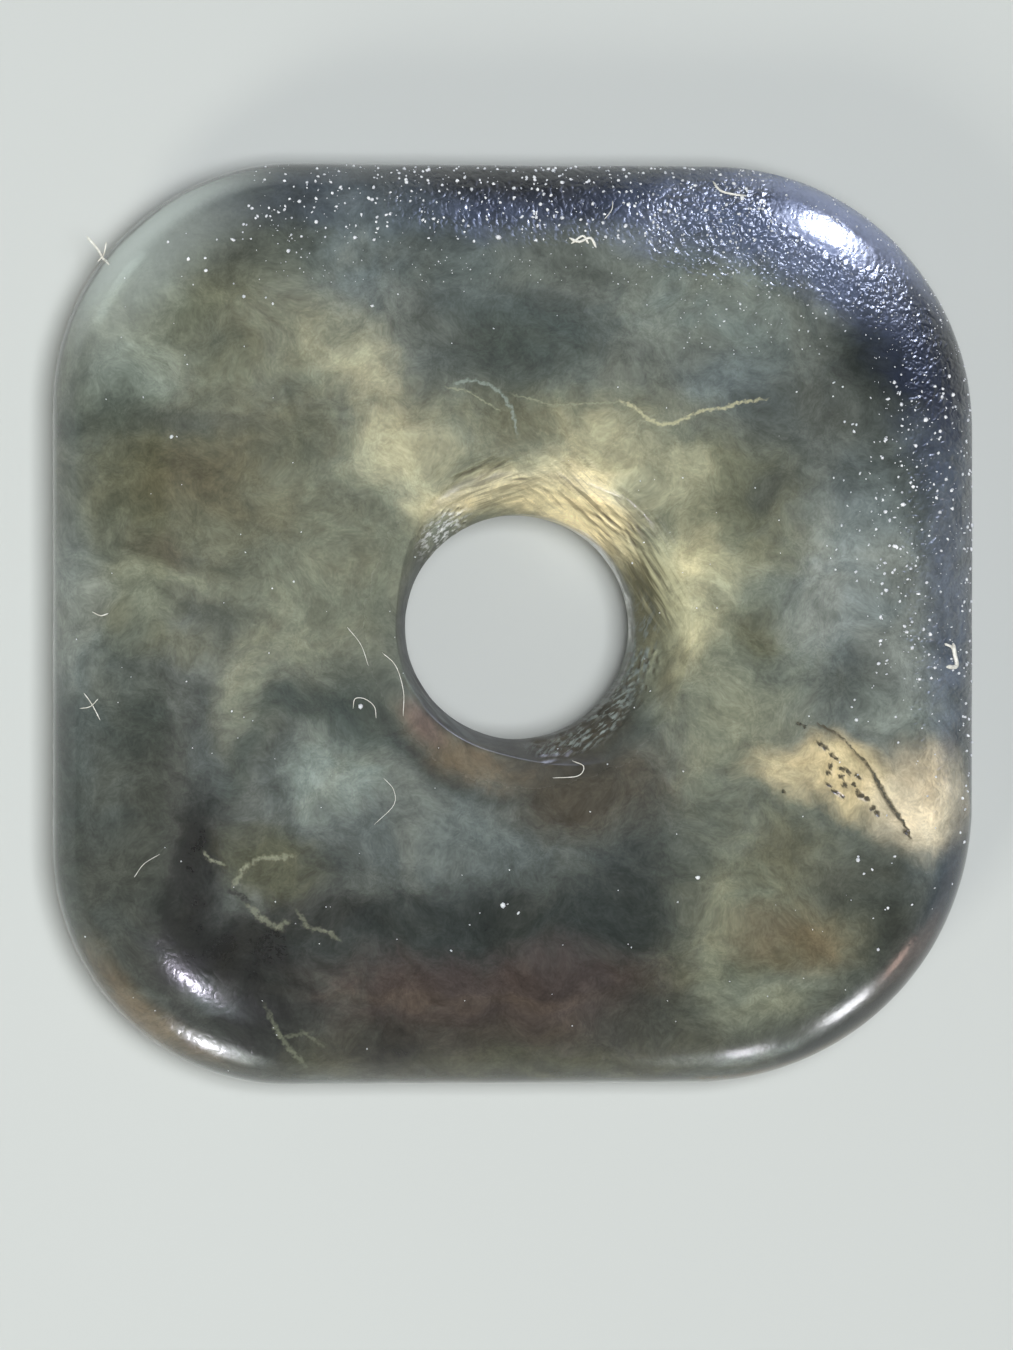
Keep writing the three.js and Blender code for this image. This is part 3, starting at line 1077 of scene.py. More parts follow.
class Graph:
    """Adds nodes to one shader tree and joins them."""

    def __init__(self, tree: bpy.types.NodeTree) -> None:
        """Takes on a tree.

        Args:
            tree: The tree of a material or of the room.
        """
        self.nodes = tree.nodes
        self.links = tree.links

    def add(self, kind: str, inputs: dict | None = None, **settings: object) -> bpy.types.Node:
        """Adds a node.

        Args:
            kind: The node's type, without its ShaderNode prefix.
            inputs: Values or sockets for its inputs, by name or number.
            settings: Its other properties.

        Returns:
            The new node.
        """
        node = self.nodes.new("ShaderNode" + kind)
        for key, value in settings.items():
            setattr(node, key, value)
        for key, value in (inputs or {}).items():
            self.feed(node.inputs[key], value)
        return node

    def feed(self, target: bpy.types.NodeSocket, value: object) -> None:
        """Links a socket to an input, or sets the input to a plain value.

        Args:
            target: The input.
            value: The socket, or the plain value.
        """
        if isinstance(value, bpy.types.NodeSocket):
            self.links.new(value, target)
        else:
            target.default_value = value

    def maths(self, operation: str, *terms: object) -> bpy.types.NodeSocket:
        """Works one sum on numbers."""
        return self.add("Math", dict(enumerate(terms)), operation=operation).outputs[0]

    def vectors(self, operation: str, *terms: object) -> bpy.types.NodeSocket:
        """Works one sum on vectors that gives a vector."""
        return self.add("VectorMath", dict(enumerate(terms)), operation=operation).outputs[0]

    def scaled(self, vector: bpy.types.NodeSocket, share: object) -> bpy.types.NodeSocket:
        """Multiplies a vector or a colour by a number."""
        inputs = {"Vector": vector, "Scale": share}
        return self.add("VectorMath", inputs, operation="SCALE").outputs[0]

    def noise(self, place: bpy.types.NodeSocket, scale: float, detail: float = 3.0,
              roughness: float = 0.5, distortion: float = 0.0, turn: float = 0.0,
              stretch: float = 1.0, flat: bool = False) -> bpy.types.Node:
        """Adds a noise texture.

        Args:
            place: The coordinates it is read at, in millimetres.
            scale: Its repeats for each millimetre.
            detail: How many finer layers it has.
            roughness: How strong the finer layers are.
            distortion: How far it swirls.
            turn: The way it is drawn out, in degrees.
            stretch: How many times longer it is that way.
            flat: Whether it is the same all the way down.

        Returns:
            The noise node.
        """
        inputs = {"Vector": place, "Scale": scale, "Detail": detail, "Roughness": roughness,
                  "Distortion": distortion}
        node = self.add("TexNoise", inputs, noise_dimensions="2D" if flat else "3D")
        node.texture_mapping.vector_type = "TEXTURE"
        node.texture_mapping.rotation = (0, 0, math.radians(turn))
        node.texture_mapping.scale = (stretch, 1, 1)
        return node

    def ease(self, value: bpy.types.NodeSocket, low: float, high: float, start: float = 0.0,
             end: float = 1.0) -> bpy.types.NodeSocket:
        """Eases a number from start at low to end at high.

        Args:
            value: The number.
            low: Where the change starts.
            high: Where it ends.
            start: The result below low.
            end: The result above high.

        Returns:
            The eased number's socket.
        """
        flip = low > high
        ends = (high, low, end, start) if flip else (low, high, start, end)
        inputs = dict(zip(("From Min", "From Max", "To Min", "To Max"), ends))
        node = self.add("MapRange", inputs, interpolation_type="SMOOTHSTEP", clamp=True)
        self.feed(node.inputs["Value"], value)
        return node.outputs["Result"]

    def mix(self, factor: object, below: object, above: object,
            blend: str = "MIX") -> bpy.types.NodeSocket:
        """Mixes two colours.

        Args:
            factor: The upper colour's share.
            below: The lower colour.
            above: The upper colour.
            blend: The way they mix.

        Returns:
            The mixed colour's socket.
        """
        node = self.add("Mix", data_type="RGBA", blend_type=blend)
        self.feed(node.inputs[0], factor)
        self.feed(node.inputs[6], below)
        self.feed(node.inputs[7], above)
        return node.outputs[2]

    def swing(self, noise: bpy.types.Node, amount: float) -> bpy.types.NodeSocket:
        """Turns a noise's colour into a shift of up to half the amount each way."""
        middle = self.vectors("SUBTRACT", noise.outputs["Color"], (0.5, 0.5, 0.5))
        return self.scaled(middle, amount)

    def spot(self, place: bpy.types.NodeSocket, centre: tuple[float, float],
             reach: tuple[float, float], turn: float = 0.0) -> bpy.types.NodeSocket:
        """Measures nearness to a spot: 1 at its centre, half at its reach and 0 at twice that.

        Args:
            place: The coordinates, with the height above the floor third.
            centre: The spot's centre.
            reach: Its half sizes before it is turned.
            turn: Its turn, in degrees.

        Returns:
            The nearness's socket.
        """
        node = self.add("TexGradient", {"Vector": place}, gradient_type="SPHERICAL")
        mapping = node.texture_mapping
        mapping.vector_type = "TEXTURE"
        mapping.translation = (*centre, CLOUD_HEIGHT)
        mapping.rotation = (0, 0, math.radians(turn))
        mapping.scale = (2 * reach[0], 2 * reach[1], CLOUD_DEPTH)
        return node.outputs["Fac"]


def new_material(name: str) -> tuple[bpy.types.Material, Graph, bpy.types.Node]:
    """Starts a material.

    Args:
        name: The material's name.

    Returns:
        The material, its graph and its surface shader.
    """
    material = bpy.data.materials.new(name)
    material.use_nodes = True
    return material, Graph(material.node_tree), material.node_tree.nodes["Principled BSDF"]


@dataclass(frozen=True)
class Streaks:
    """Fine streaks of painted light, shade and glints along the grinding strokes in one part of the bore's
    mouth.

    Attributes:
        name: Where they are.
        place: Their middle: its bearing in degrees and how far out from the bore's wall it is.
        reach: Their half extents, in the same units.
        turn: The way they run, in degrees.
        stretch: How many times longer than wide they are.
        scale: How many there are in a millimetre.
        tint: Their colour.
        strength: Share of the colour at its strongest.
    """

    name: str
    place: tuple[float, float]
    reach: tuple[float, float]
    turn: float
    stretch: float
    scale: float
    tint: Tint
    strength: float


# Painted light and shade along the grinding strokes: the pale sets are painted lit lines, the dark sets
# painted shaded lines, and the glint sets painted glints.
STREAKS = (
    Streaks("upper right dark", (54, 0.7), (28, 0.6), -42, 12, 9.0, Tint.BARK, 0.6),
    Streaks("upper right pale", (62, 0.5), (28, 0.5), -39, 14, 7.0, Tint.CREAM, 0.5),
    Streaks("right dark", (18, 0.6), (22, 0.55), -61, 12, 8.0, Tint.UMBER, 0.6),
    Streaks("right pale", (20, 0.8), (20, 0.5), -59, 14, 6.5, Tint.STRAW, 0.5),
    Streaks("upper left dark", (106, 0.9), (18, 0.8), 19, 12, 8.0, Tint.UMBER, 0.5),
    Streaks("lower left pale", (222, 0.25), (26, 0.25), -48, 12, 6.0, Tint.SLATE, 0.5),
    Streaks("lower right glints", (-54, 0.27), (28, 0.27), 38, 4, 12.0, Tint.CELADON, 0.85),
    Streaks("right glints", (-14, 0.3), (22, 0.25), 70, 5, 10.0, Tint.HAZE, 0.6),
    Streaks("frosted glints", (131, 0.36), (12, 0.34), 35, 2.5, 12.0, Tint.SNOW, 0.85),
)


@dataclass(frozen=True)
class JadeFinish:
    """Polished, cloudy nephrite, worn and handled.

    Attributes:
        clouds: Its patches of colour, the stone's own and painted light, shade, glow and reflections, from
            the deepest up.
        bore_centre: Where the bore's axis is.
        bore_radius: Radius of the bore's wall.
        roughness: Roughness of the polish.
        refraction: Refractive index of the stone.
        coat: Strength of the skin that handling has left.
        coat_roughness: Its roughness.
        peel: Height of the pebbled skin on the rim, in millimetres.
        richness: How far the stone's tones are spread; 1 leaves them as they are.
        hue: How colourful it is; 1 leaves its tints as they are.
        warmth: What its red, green and blue are multiplied by.
        dirt: Share of old dirt and painted shade in the deepest cuts.
        crest: How many times paler the cuts' crests are, a painted highlight.
    """

    clouds: tuple[Cloud, ...]
    bore_centre: tuple[float, float]
    bore_radius: float
    roughness: float = 0.2
    refraction: float = 1.55
    coat: float = 0.25
    coat_roughness: float = 0.08
    peel: float = 0.18
    richness: float = 1.15
    hue: float = 0.88
    warmth: tuple[float, float, float] = (1.055, 1.03, 1.02)
    dirt: float = 0.7
    crest: float = 1.35

    def material(self) -> bpy.types.Material:
        """Builds the material.

        Returns:
            The finished material.
        """
        material, graph, shader = new_material("cloudy_jade")
        place = graph.scaled(graph.add("TexCoord").outputs["Object"], 1 / MM)
        drift = graph.vectors("ADD", place, graph.swing(graph.noise(place, scale=0.4, detail=1), 1.5))
        fray = graph.vectors("ADD", drift, graph.swing(graph.noise(drift, scale=1.6, detail=2), 0.55))
        charts = self.charts(graph, place, fray)
        rag = graph.noise(fray, scale=1.1, detail=4, roughness=0.62).outputs["Fac"]
        crumb = graph.noise(place, scale=9.0, detail=2, roughness=0.6, flat=True).outputs["Fac"]
        broad = graph.noise(drift, scale=0.45, detail=2, roughness=0.55, distortion=0.4).outputs["Fac"]
        over = (Chart.CRISP, Chart.PAINTED_SHEEN)
        colour = graph.mix(graph.ease(broad, 0.3, 0.7), Tint.SMOKE.rgba, Tint.SLATE.rgba)
        colour = self.lay(graph, colour, charts, rag, lambda cloud: cloud.chart not in over)
        colour = graph.mix(1.0, colour, (*self.warmth, 1), "MULTIPLY")
        colour = graph.add("Gamma", {0: colour, 1: self.richness}).outputs[0]
        colour = graph.add("HueSaturation", {"Saturation": self.hue, "Color": colour}).outputs[0]
        colour = self.wisps(graph, colour, drift, fray, broad)
        # Painted light, shade and glints along the grinding strokes.
        for streaks in STREAKS:
            colour = self.streak(graph, colour, charts[Chart.BORE], place, streaks)
        # The crisp clouds, then the painted reflections at the rim over everything.
        colour = self.lay(graph, colour, charts, crumb, lambda cloud: cloud.chart in over)
        # Old dirt and painted shade in the cuts, and painted highlight on their crests.
        graph.feed(shader.inputs["Base Color"], self.worn(graph, colour))
        self.polish(graph, shader, charts, rag)
        self.skin(graph, shader, place)
        return material

    def charts(self, graph: Graph, place: bpy.types.NodeSocket,
               fray: bpy.types.NodeSocket) -> dict[Chart, bpy.types.NodeSocket]:
        """Measures places in each of the ways that clouds are placed by.

        Args:
            graph: The material's graph.
            place: True places.
            fray: Places drawn out with the stone's grain.

        Returns:
            The coordinates for each chart, with the height above the floor third.
        """
        split = graph.add("SeparateXYZ", {0: place}).outputs
        stray = graph.add("SeparateXYZ", {0: graph.vectors("SUBTRACT", fray, place)}).outputs
        across = graph.maths("SUBTRACT", split["X"], self.bore_centre[0])
        along = graph.maths("SUBTRACT", split["Y"], self.bore_centre[1])
        turn = graph.maths("DEGREES", graph.maths("ARCTAN2", along, across))
        turn = graph.maths("WRAP", turn, 270.0, -90.0)
        square = graph.maths("MULTIPLY", along, along)
        radius = graph.maths("SQRT", graph.maths("MULTIPLY_ADD", across, across, square))
        out = graph.maths("SUBTRACT", radius, self.bore_radius)
        inset = graph.add("Attribute", attribute_name="inset").outputs["Fac"]
        tremble = graph.noise(place, scale=7.0, detail=1, flat=True)
        # The painted sheen's clouds, painted reflections at the rim, are lifted out of reach on the back
        # half.
        front_only = graph.ease(split["Z"], 2.6, 1.6, CLOUD_HEIGHT, 15.0)
        return {Chart.FACE: fray,
                Chart.CRISP: graph.vectors("ADD", place, graph.swing(tremble, 0.12)),
                Chart.RIM: self.swayed(graph, (turn, inset, split["Z"]), stray, (4.0, 0.15)),
                Chart.BORE: self.swayed(graph, (turn, out, split["Z"]), stray, (9.0, 0.3)),
                Chart.PAINTED_SHEEN: self.swayed(graph, (turn, inset, front_only), stray, (1.0, 0.05))}

    @staticmethod
    def swayed(graph: Graph, place: tuple[bpy.types.NodeSocket, ...],
               stray: bpy.types.bpy_prop_collection, sway: tuple[float, float]) -> bpy.types.NodeSocket:
        """Joins a bearing and a distance into coordinates that sway with the stone's grain.

        Args:
            graph: The material's graph.
            place: The bearing, the distance and the height.
            stray: How far the grain draws places out, as the outputs of a node that splits it.
            sway: How far the bearing and the distance go with it.

        Returns:
            The coordinates' socket.
        """
        shifted = graph.maths("MULTIPLY_ADD", stray["X"], sway[0], place[0])
        moved = graph.maths("MULTIPLY_ADD", stray["Y"], sway[1], place[1])
        return graph.add("CombineXYZ", {0: shifted, 1: moved, 2: place[2]}).outputs[0]

    def lay(self, graph: Graph, colour: bpy.types.NodeSocket,
            charts: dict[Chart, bpy.types.NodeSocket], rag: bpy.types.NodeSocket,
            chosen: Callable[[Cloud], bool]) -> bpy.types.NodeSocket:
        """Lays some of the clouds over the colour so far.

        Args:
            graph: The material's graph.
            colour: The colour so far.
            charts: The coordinates for each chart.
            rag: Noise that makes the clouds' edges wander.
            chosen: Tells which clouds to lay.

        Returns:
            The colour with the clouds over it.
        """
        sways: dict[float, bpy.types.NodeSocket] = {}
        for cloud in filter(chosen, self.clouds):
            if cloud.ragged not in sways:
                ragged = cloud.ragged
                sways[ragged] = graph.maths("MULTIPLY_ADD", rag, 2.4 * ragged, 1 - 1.2 * ragged)
            near = graph.spot(charts[cloud.chart], cloud.place, cloud.reach, cloud.turn)
            for lap in cloud.laps:
                place = (cloud.place[0] + lap, cloud.place[1])
                again = graph.spot(charts[cloud.chart], place, cloud.reach, cloud.turn)
                near = graph.maths("MAXIMUM", near, again)
            near = graph.maths("MULTIPLY", near, sways[cloud.ragged])
            cover = graph.ease(near, 0.5 - cloud.soft / 2, 0.5 + cloud.soft / 2, 0, cloud.strength)
            colour = graph.mix(cover, colour, cloud.tint.rgba)
        return colour

    def streak(self, graph: Graph, colour: bpy.types.NodeSocket, mouth: bpy.types.NodeSocket,
               place: bpy.types.NodeSocket, streaks: Streaks) -> bpy.types.NodeSocket:
        """Paints one set of the fine painted streaks over the colour so far.

        Args:
            graph: The material's graph.
            colour: The colour so far.
            mouth: The coordinates round the bore.
            place: True places.
            streaks: The set.

        Returns:
            The colour with the streaks over it.
        """
        lines = graph.noise(place, streaks.scale, detail=2, roughness=0.6, turn=streaks.turn,
                            stretch=streaks.stretch, flat=True)
        line = graph.ease(lines.outputs["Fac"], 0.47, 0.62, 0, streaks.strength)
        where = graph.ease(graph.spot(mouth, streaks.place, streaks.reach), 0.2, 0.8)
        return graph.mix(graph.maths("MULTIPLY", line, where), colour, streaks.tint.rgba)

    def wisps(self, graph: Graph, colour: bpy.types.NodeSocket, drift: bpy.types.NodeSocket,
              fray: bpy.types.NodeSocket, broad: bpy.types.NodeSocket) -> bpy.types.NodeSocket:
        """Veils the colours so far with smoky wisps, flecks and fine grain.

        Args:
            graph: The material's graph.
            colour: The colour so far.
            drift: Places drawn out a little with the stone's grain.
            fray: Places drawn out more.
            broad: Broad noise, which swings the hue.

        Returns:
            The veiled colour.
        """
        smoke = graph.noise(drift, scale=0.75, detail=4, roughness=0.64, distortion=0.5, turn=-25,
                            stretch=1.5)
        colour = graph.scaled(colour, graph.ease(smoke.outputs["Fac"], 0.3, 0.7, 0.78, 1.25))
        hue = graph.mix(graph.ease(broad, 0.35, 0.65), (0.965, 1.0, 1.03, 1), (1.03, 1.0, 0.955, 1))
        colour = graph.mix(1.0, colour, hue, "MULTIPLY")
        curds = graph.noise(fray, scale=2.6, detail=4, roughness=0.68).outputs["Fac"]
        colour = graph.scaled(colour, graph.ease(curds, 0.3, 0.7, 0.82, 1.18))
        grain = graph.noise(fray, scale=13.0, detail=1, roughness=0.6).outputs["Fac"]
        return graph.scaled(colour, graph.ease(grain, 0.25, 0.75, 0.9, 1.1))

    def worn(self, graph: Graph, colour: bpy.types.NodeSocket) -> bpy.types.NodeSocket:
        """Darkens the cuts, partly as old dirt and partly as painted shade, and pales their crests as a
        painted highlight.

        Args:
            graph: The material's graph.
            colour: The colour so far.

        Returns:
            The worn colour.
        """
        cut = graph.add("Attribute", attribute_name="cut").outputs["Fac"]
        # Old dirt and painted shade in the cuts, then a painted highlight on their crests.
        colour = graph.mix(graph.ease(cut, -0.004, -0.03, 0.0, self.dirt), colour, Tint.BARK.rgba)
        return graph.scaled(colour, graph.ease(cut, 0.0, 0.01, 1.0, self.crest))

    def polish(self, graph: Graph, shader: bpy.types.Node,
               charts: dict[Chart, bpy.types.NodeSocket], smear: bpy.types.NodeSocket) -> None:
        """Sets the polish, duller in the bore's mouth.

        Args:
            graph: The material's graph.
            shader: The surface shader.
            charts: The coordinates for each chart.
            smear: Noise that the gloss follows.
        """
        gloss = graph.ease(smear, 0.3, 0.7, self.roughness * 0.8, self.roughness * 1.3)
        split = graph.add("SeparateXYZ", {0: charts[Chart.BORE]}).outputs
        mouth = graph.ease(split["Y"], 1.5, 0.8)
        pebbled = graph.add("Attribute", attribute_name="peel").outputs["Fac"]
        dull = graph.maths("MULTIPLY_ADD", pebbled, 0.2, graph.maths("MULTIPLY", mouth, 0.25))
        graph.feed(shader.inputs["Roughness"], graph.maths("ADD", gloss, dull))
        skin = graph.maths("SUBTRACT", 1.0, mouth)
        graph.feed(shader.inputs["Coat Weight"], graph.maths("MULTIPLY", skin, self.coat))
        shader.inputs["IOR"].default_value = self.refraction
        shader.inputs["Coat Roughness"].default_value = self.coat_roughness

    def skin(self, graph: Graph, shader: bpy.types.Node, place: bpy.types.NodeSocket) -> None:
        """Pebbles the skin where the surface says so.

        Args:
            graph: The material's graph.
            shader: The surface shader.
            place: True places.
        """
        pebbles = graph.noise(place, scale=3.5, detail=1.5, roughness=0.6, flat=True)
        swell = graph.maths("SUBTRACT", pebbles.outputs["Fac"], 0.5)
        where = graph.add("Attribute", attribute_name="peel").outputs["Fac"]
        height = graph.maths("MULTIPLY", graph.maths("ABSOLUTE", swell), where)
        bump = graph.add("Bump", {"Strength": 1.0, "Distance": self.peel * MM, "Height": height})
        graph.feed(shader.inputs["Normal"], bump.outputs[0])
        graph.feed(shader.inputs["Coat Normal"], bump.outputs[0])


@dataclass(frozen=True)
class FluffFinish:
    """Dry, pale, matt fluff.

    Attributes:
        name: The material's name.
        shade: Its darker display colour.
        light: Its lighter display colour.
    """

    name: str
    shade: tuple[float, float, float]
    light: tuple[float, float, float]

    def material(self) -> bpy.types.Material:
        """Builds the material.

        Returns:
            The finished material.
        """
        material, graph, shader = new_material(self.name)
        place = graph.scaled(graph.add("TexCoord").outputs["Object"], 1 / MM)
        mottle = graph.noise(place, scale=6.0, detail=3, roughness=0.6).outputs["Fac"]
        colour = graph.mix(graph.ease(mottle, 0.3, 0.65), linear(*self.shade), linear(*self.light))
        graph.feed(shader.inputs["Base Color"], colour)
        graph.feed(shader.inputs["Roughness"], graph.ease(mottle, 0.3, 0.7, 0.7, 0.95))
        shader.inputs["IOR"].default_value = 1.45
        nap = graph.noise(place, scale=40.0, detail=2).outputs["Fac"]
        bump = graph.add("Bump", {"Strength": 0.6, "Distance": 0.006 * MM, "Height": nap})
        graph.feed(shader.inputs["Normal"], bump.outputs[0])
        return material


@dataclass(frozen=True)
class DustPatch:
    """Dust settled on one part of the front.

    Attributes:
        name: Which part.
        low: The patch's lower left corner in plan.
        high: Its upper right corner in plan.
        count: How many specks.
        size: Their half sizes, least and most.
    """

    name: str
    low: tuple[float, float]
    high: tuple[float, float]
    count: int
    size: tuple[float, float] = (0.025, 0.055)


DUST = (
    DustPatch("top band", (-7.5, 9.9), (6.5, 12.0), 270),
    DustPatch("top band fine", (-7.0, 8.8), (6.5, 12.0), 420, (0.01, 0.02)),
    DustPatch("top edge", (-6.0, 11.4), (5.5, 12.0), 60),
    DustPatch("upper right corner", (5.0, 7.5), (12.1, 12.0), 150, (0.018, 0.035)),
    DustPatch("upper right corner fine", (4.0, 7.0), (12.1, 12.0), 420, (0.01, 0.02)),
    DustPatch("right side", (9.2, -1.5), (12.1, 7.0), 160, (0.02, 0.06)),
    DustPatch("right side fine", (9.0, -2.0), (12.1, 7.5), 260, (0.01, 0.022)),
    DustPatch("right side inner", (8.0, 1.0), (10.5, 6.5), 50, (0.02, 0.045)),
    DustPatch("right edge", (11.6, -5.0), (12.1, 5.0), 50),
    DustPatch("right low", (8.5, -7.5), (12.0, -1.5), 30, (0.02, 0.05)),
    DustPatch("upper left", (-9.5, 8.0), (-6.0, 11.0), 14),
    DustPatch("all over", (-12.0, -12.0), (12.0, 12.0), 200, (0.01, 0.026)),
)

LARGE_SPECKS = (
    ((4.5, -6.6), 0.07), ((-0.6, -7.3), 0.07), ((-0.2, -7.5), 0.05), ((8.7, -6.15), 0.08),
    ((9.3, -8.5), 0.07), ((-7.6, 9.9), 0.06), ((-8.3, 9.1), 0.06), ((-9.2, 4.8), 0.08),
    ((9.9, 3.1), 0.09), ((-4.3, -2.15), 0.07), ((-0.7, 10.0), 0.08), ((-4.0, 8.2), 0.05),
)


@dataclass(frozen=True)
class Dust:
    """Specks of dust that lie on the plaque's front.

    Attributes:
        plaque: The form they lie on.
        seed: Seed of their chance places and shapes.
        edge_clear: How far in from the outline the first of them lie.
        mouth_clear: How far out from the bore's wall the first of them lie.
        lift: How high a speck's middle is above the stone, as a share of its half size.
    """

    plaque: Plaque
    seed: int = 21
    edge_clear: float = 0.05
    mouth_clear: float = 0.3
    lift: float = 0.35

    def pebble(self) -> tuple[np.ndarray, np.ndarray]:
        """Gives a round pebble of 20 faces.

        Returns:
            Its corners and its faces.
        """
        g = (1 + math.sqrt(5)) / 2
        ends = [(-1, g, 0), (1, g, 0), (-1, -g, 0), (1, -g, 0), (0, -1, g), (0, 1, g), (0, -1, -g),
                (0, 1, -g), (g, 0, -1), (g, 0, 1), (-g, 0, -1), (-g, 0, 1)]
        faces = [(0, 11, 5), (0, 5, 1), (0, 1, 7), (0, 7, 10), (0, 10, 11), (1, 5, 9), (5, 11, 4),
                 (11, 10, 2), (10, 7, 6), (7, 1, 8), (3, 9, 4), (3, 4, 2), (3, 2, 6), (3, 6, 8),
                 (3, 8, 9), (4, 9, 5), (2, 4, 11), (6, 2, 10), (8, 6, 7), (9, 8, 1)]
        return np.array(ends) / math.hypot(1, g), np.array(faces)

    def settle(self, rng: np.random.Generator) -> list[tuple[float, float, float]]:
        """Chooses where the specks lie.

        Args:
            rng: Source of the chance differences.

        Returns:
            The plan place and half size of each speck.
        """
        specks = [(*place, size) for place, size in LARGE_SPECKS]
        for patch in DUST:
            places = rng.uniform(patch.low, patch.high, (patch.count, 2))
            sizes = rng.uniform(*patch.size, patch.count)
            away = places - np.array(self.plaque.bore_centre)
            clear = np.hypot(*away.T) > self.plaque.bore_radius + self.mouth_clear
            on = (self.plaque.inset(places) > self.edge_clear) & clear
            specks += [(*place, size) for place, size in zip(places[on], sizes[on])]
        return specks

    def build(self) -> bpy.types.Object:
        """Makes the dust.

        Returns:
            One mesh object of all the specks.
        """
        rng = np.random.default_rng(self.seed)
        corners, faces = self.pebble()
        points, tables = [], []
        for x, y, size in self.settle(rng):
            shape = corners * rng.uniform(0.7, 1.25, (12, 1)) * size * rng.uniform(0.6, 1.3, 3)
            turn = Matrix.Rotation(rng.uniform(0, 2 * math.pi), 3, Vector(rng.normal(size=3)))
            plan = np.array([x, y])
            foot = np.array([x, y, self.plaque.front_height(plan) + self.lift * size])
            tables.append(faces + 12 * len(points))
            points.append(shape @ np.array(turn).T + foot)
        piece = mesh_object("dust", np.concatenate(points), np.concatenate(tables))
        piece.data.materials.append(FluffFinish("settled_dust", (196, 200, 206), (246, 248, 250)).material())
        return piece


@dataclass(frozen=True)
class Fibre:
    """One fibre of lint on the front.

    Attributes:
        name: What it is.
        path: Its turning points: plan place and height above the stone.
        radius: Its half thickness.
    """

    name: str
    path: tuple[tuple[float, float, float], ...]
    radius: float = 0.016


FIBRES = (
    Fibre("upper left whisker", ((-11.25, 10.05, 0.4), (-10.95, 9.7, 0.4), (-10.7, 9.3, 0.0)), 0.035),
    Fibre("upper left whisker foot", ((-10.75, 9.9, 0.5), (-10.8, 9.6, 0.3), (-10.95, 9.4, 0.2)), 0.02),
    Fibre("top right hair", ((5.05, 11.55, 0.0), (5.2, 11.3, 0.02), (5.5, 11.2, 0.02),
                             (5.9, 11.15, 0.0)), 0.03),
    Fibre("left of bore upper", ((-4.65, -0.1, 0.0), (-4.3, -0.55, 0.02), (-4.1, -1.1, 0.0)), 0.007),
    Fibre("left of bore", ((-3.75, -0.75, 0.0), (-3.4, -1.1, 0.06), (-3.2, -1.75, 0.08), (-3.2, -2.4, 0.02)),
          0.01),
    Fibre("ring", ((-4.5, -2.2, 0.0), (-4.45, -1.95, 0.03), (-4.2, -1.95, 0.03), (-3.95, -2.15, 0.02),
                   (-3.9, -2.45, 0.0)), 0.009),
    Fibre("hook", ((1.2, -3.55, 0.0), (1.5, -3.7, 0.04), (1.35, -3.95, 0.04), (0.7, -4.0, 0.0)), 0.011),
    Fibre("lower left curl", ((-3.7, -4.0, 0.0), (-3.45, -4.3, 0.02), (-3.45, -4.7, 0.03),
                              (-3.95, -5.2, 0.0)), 0.006),
    Fibre("left hook", ((-11.2, 0.3, 0.0), (-11.0, 0.2, 0.02), (-10.8, 0.25, 0.0)), 0.014),
    Fibre("left fork", ((-11.4, -1.8, 0.0), (-11.2, -2.1, 0.03), (-11.0, -2.5, 0.0)), 0.014),
    Fibre("left fork arm", ((-11.5, -2.2, 0.0), (-11.25, -2.15, 0.03), (-11.05, -1.95, 0.0)), 0.012),
    Fibre("left low hair", ((-10.15, -6.55, 0.0), (-9.9, -6.2, 0.02), (-9.5, -5.95, 0.0)), 0.007),
    Fibre("right clot", ((11.35, -0.5, 0.0), (11.4, -0.8, 0.03), (11.45, -1.1, 0.03),
                         (11.15, -1.12, 0.0)), 0.06),
    Fibre("right clot stem", ((11.1, -0.52, 0.0), (11.3, -0.6, 0.02), (11.4, -0.75, 0.0)), 0.035),
    Fibre("top clot", ((1.15, 10.0, 0.0), (1.4, 9.9, 0.04), (1.7, 10.0, 0.03), (1.85, 9.75, 0.0)), 0.035),
    Fibre("top clot stem", ((1.2, 9.85, 0.0), (1.5, 10.05, 0.05), (1.65, 9.85, 0.0)), 0.03),
    Fibre("top stray", ((2.1, 10.5, 0.0), (2.3, 10.75, 0.04), (2.35, 11.0, 0.0)), 0.012),
)


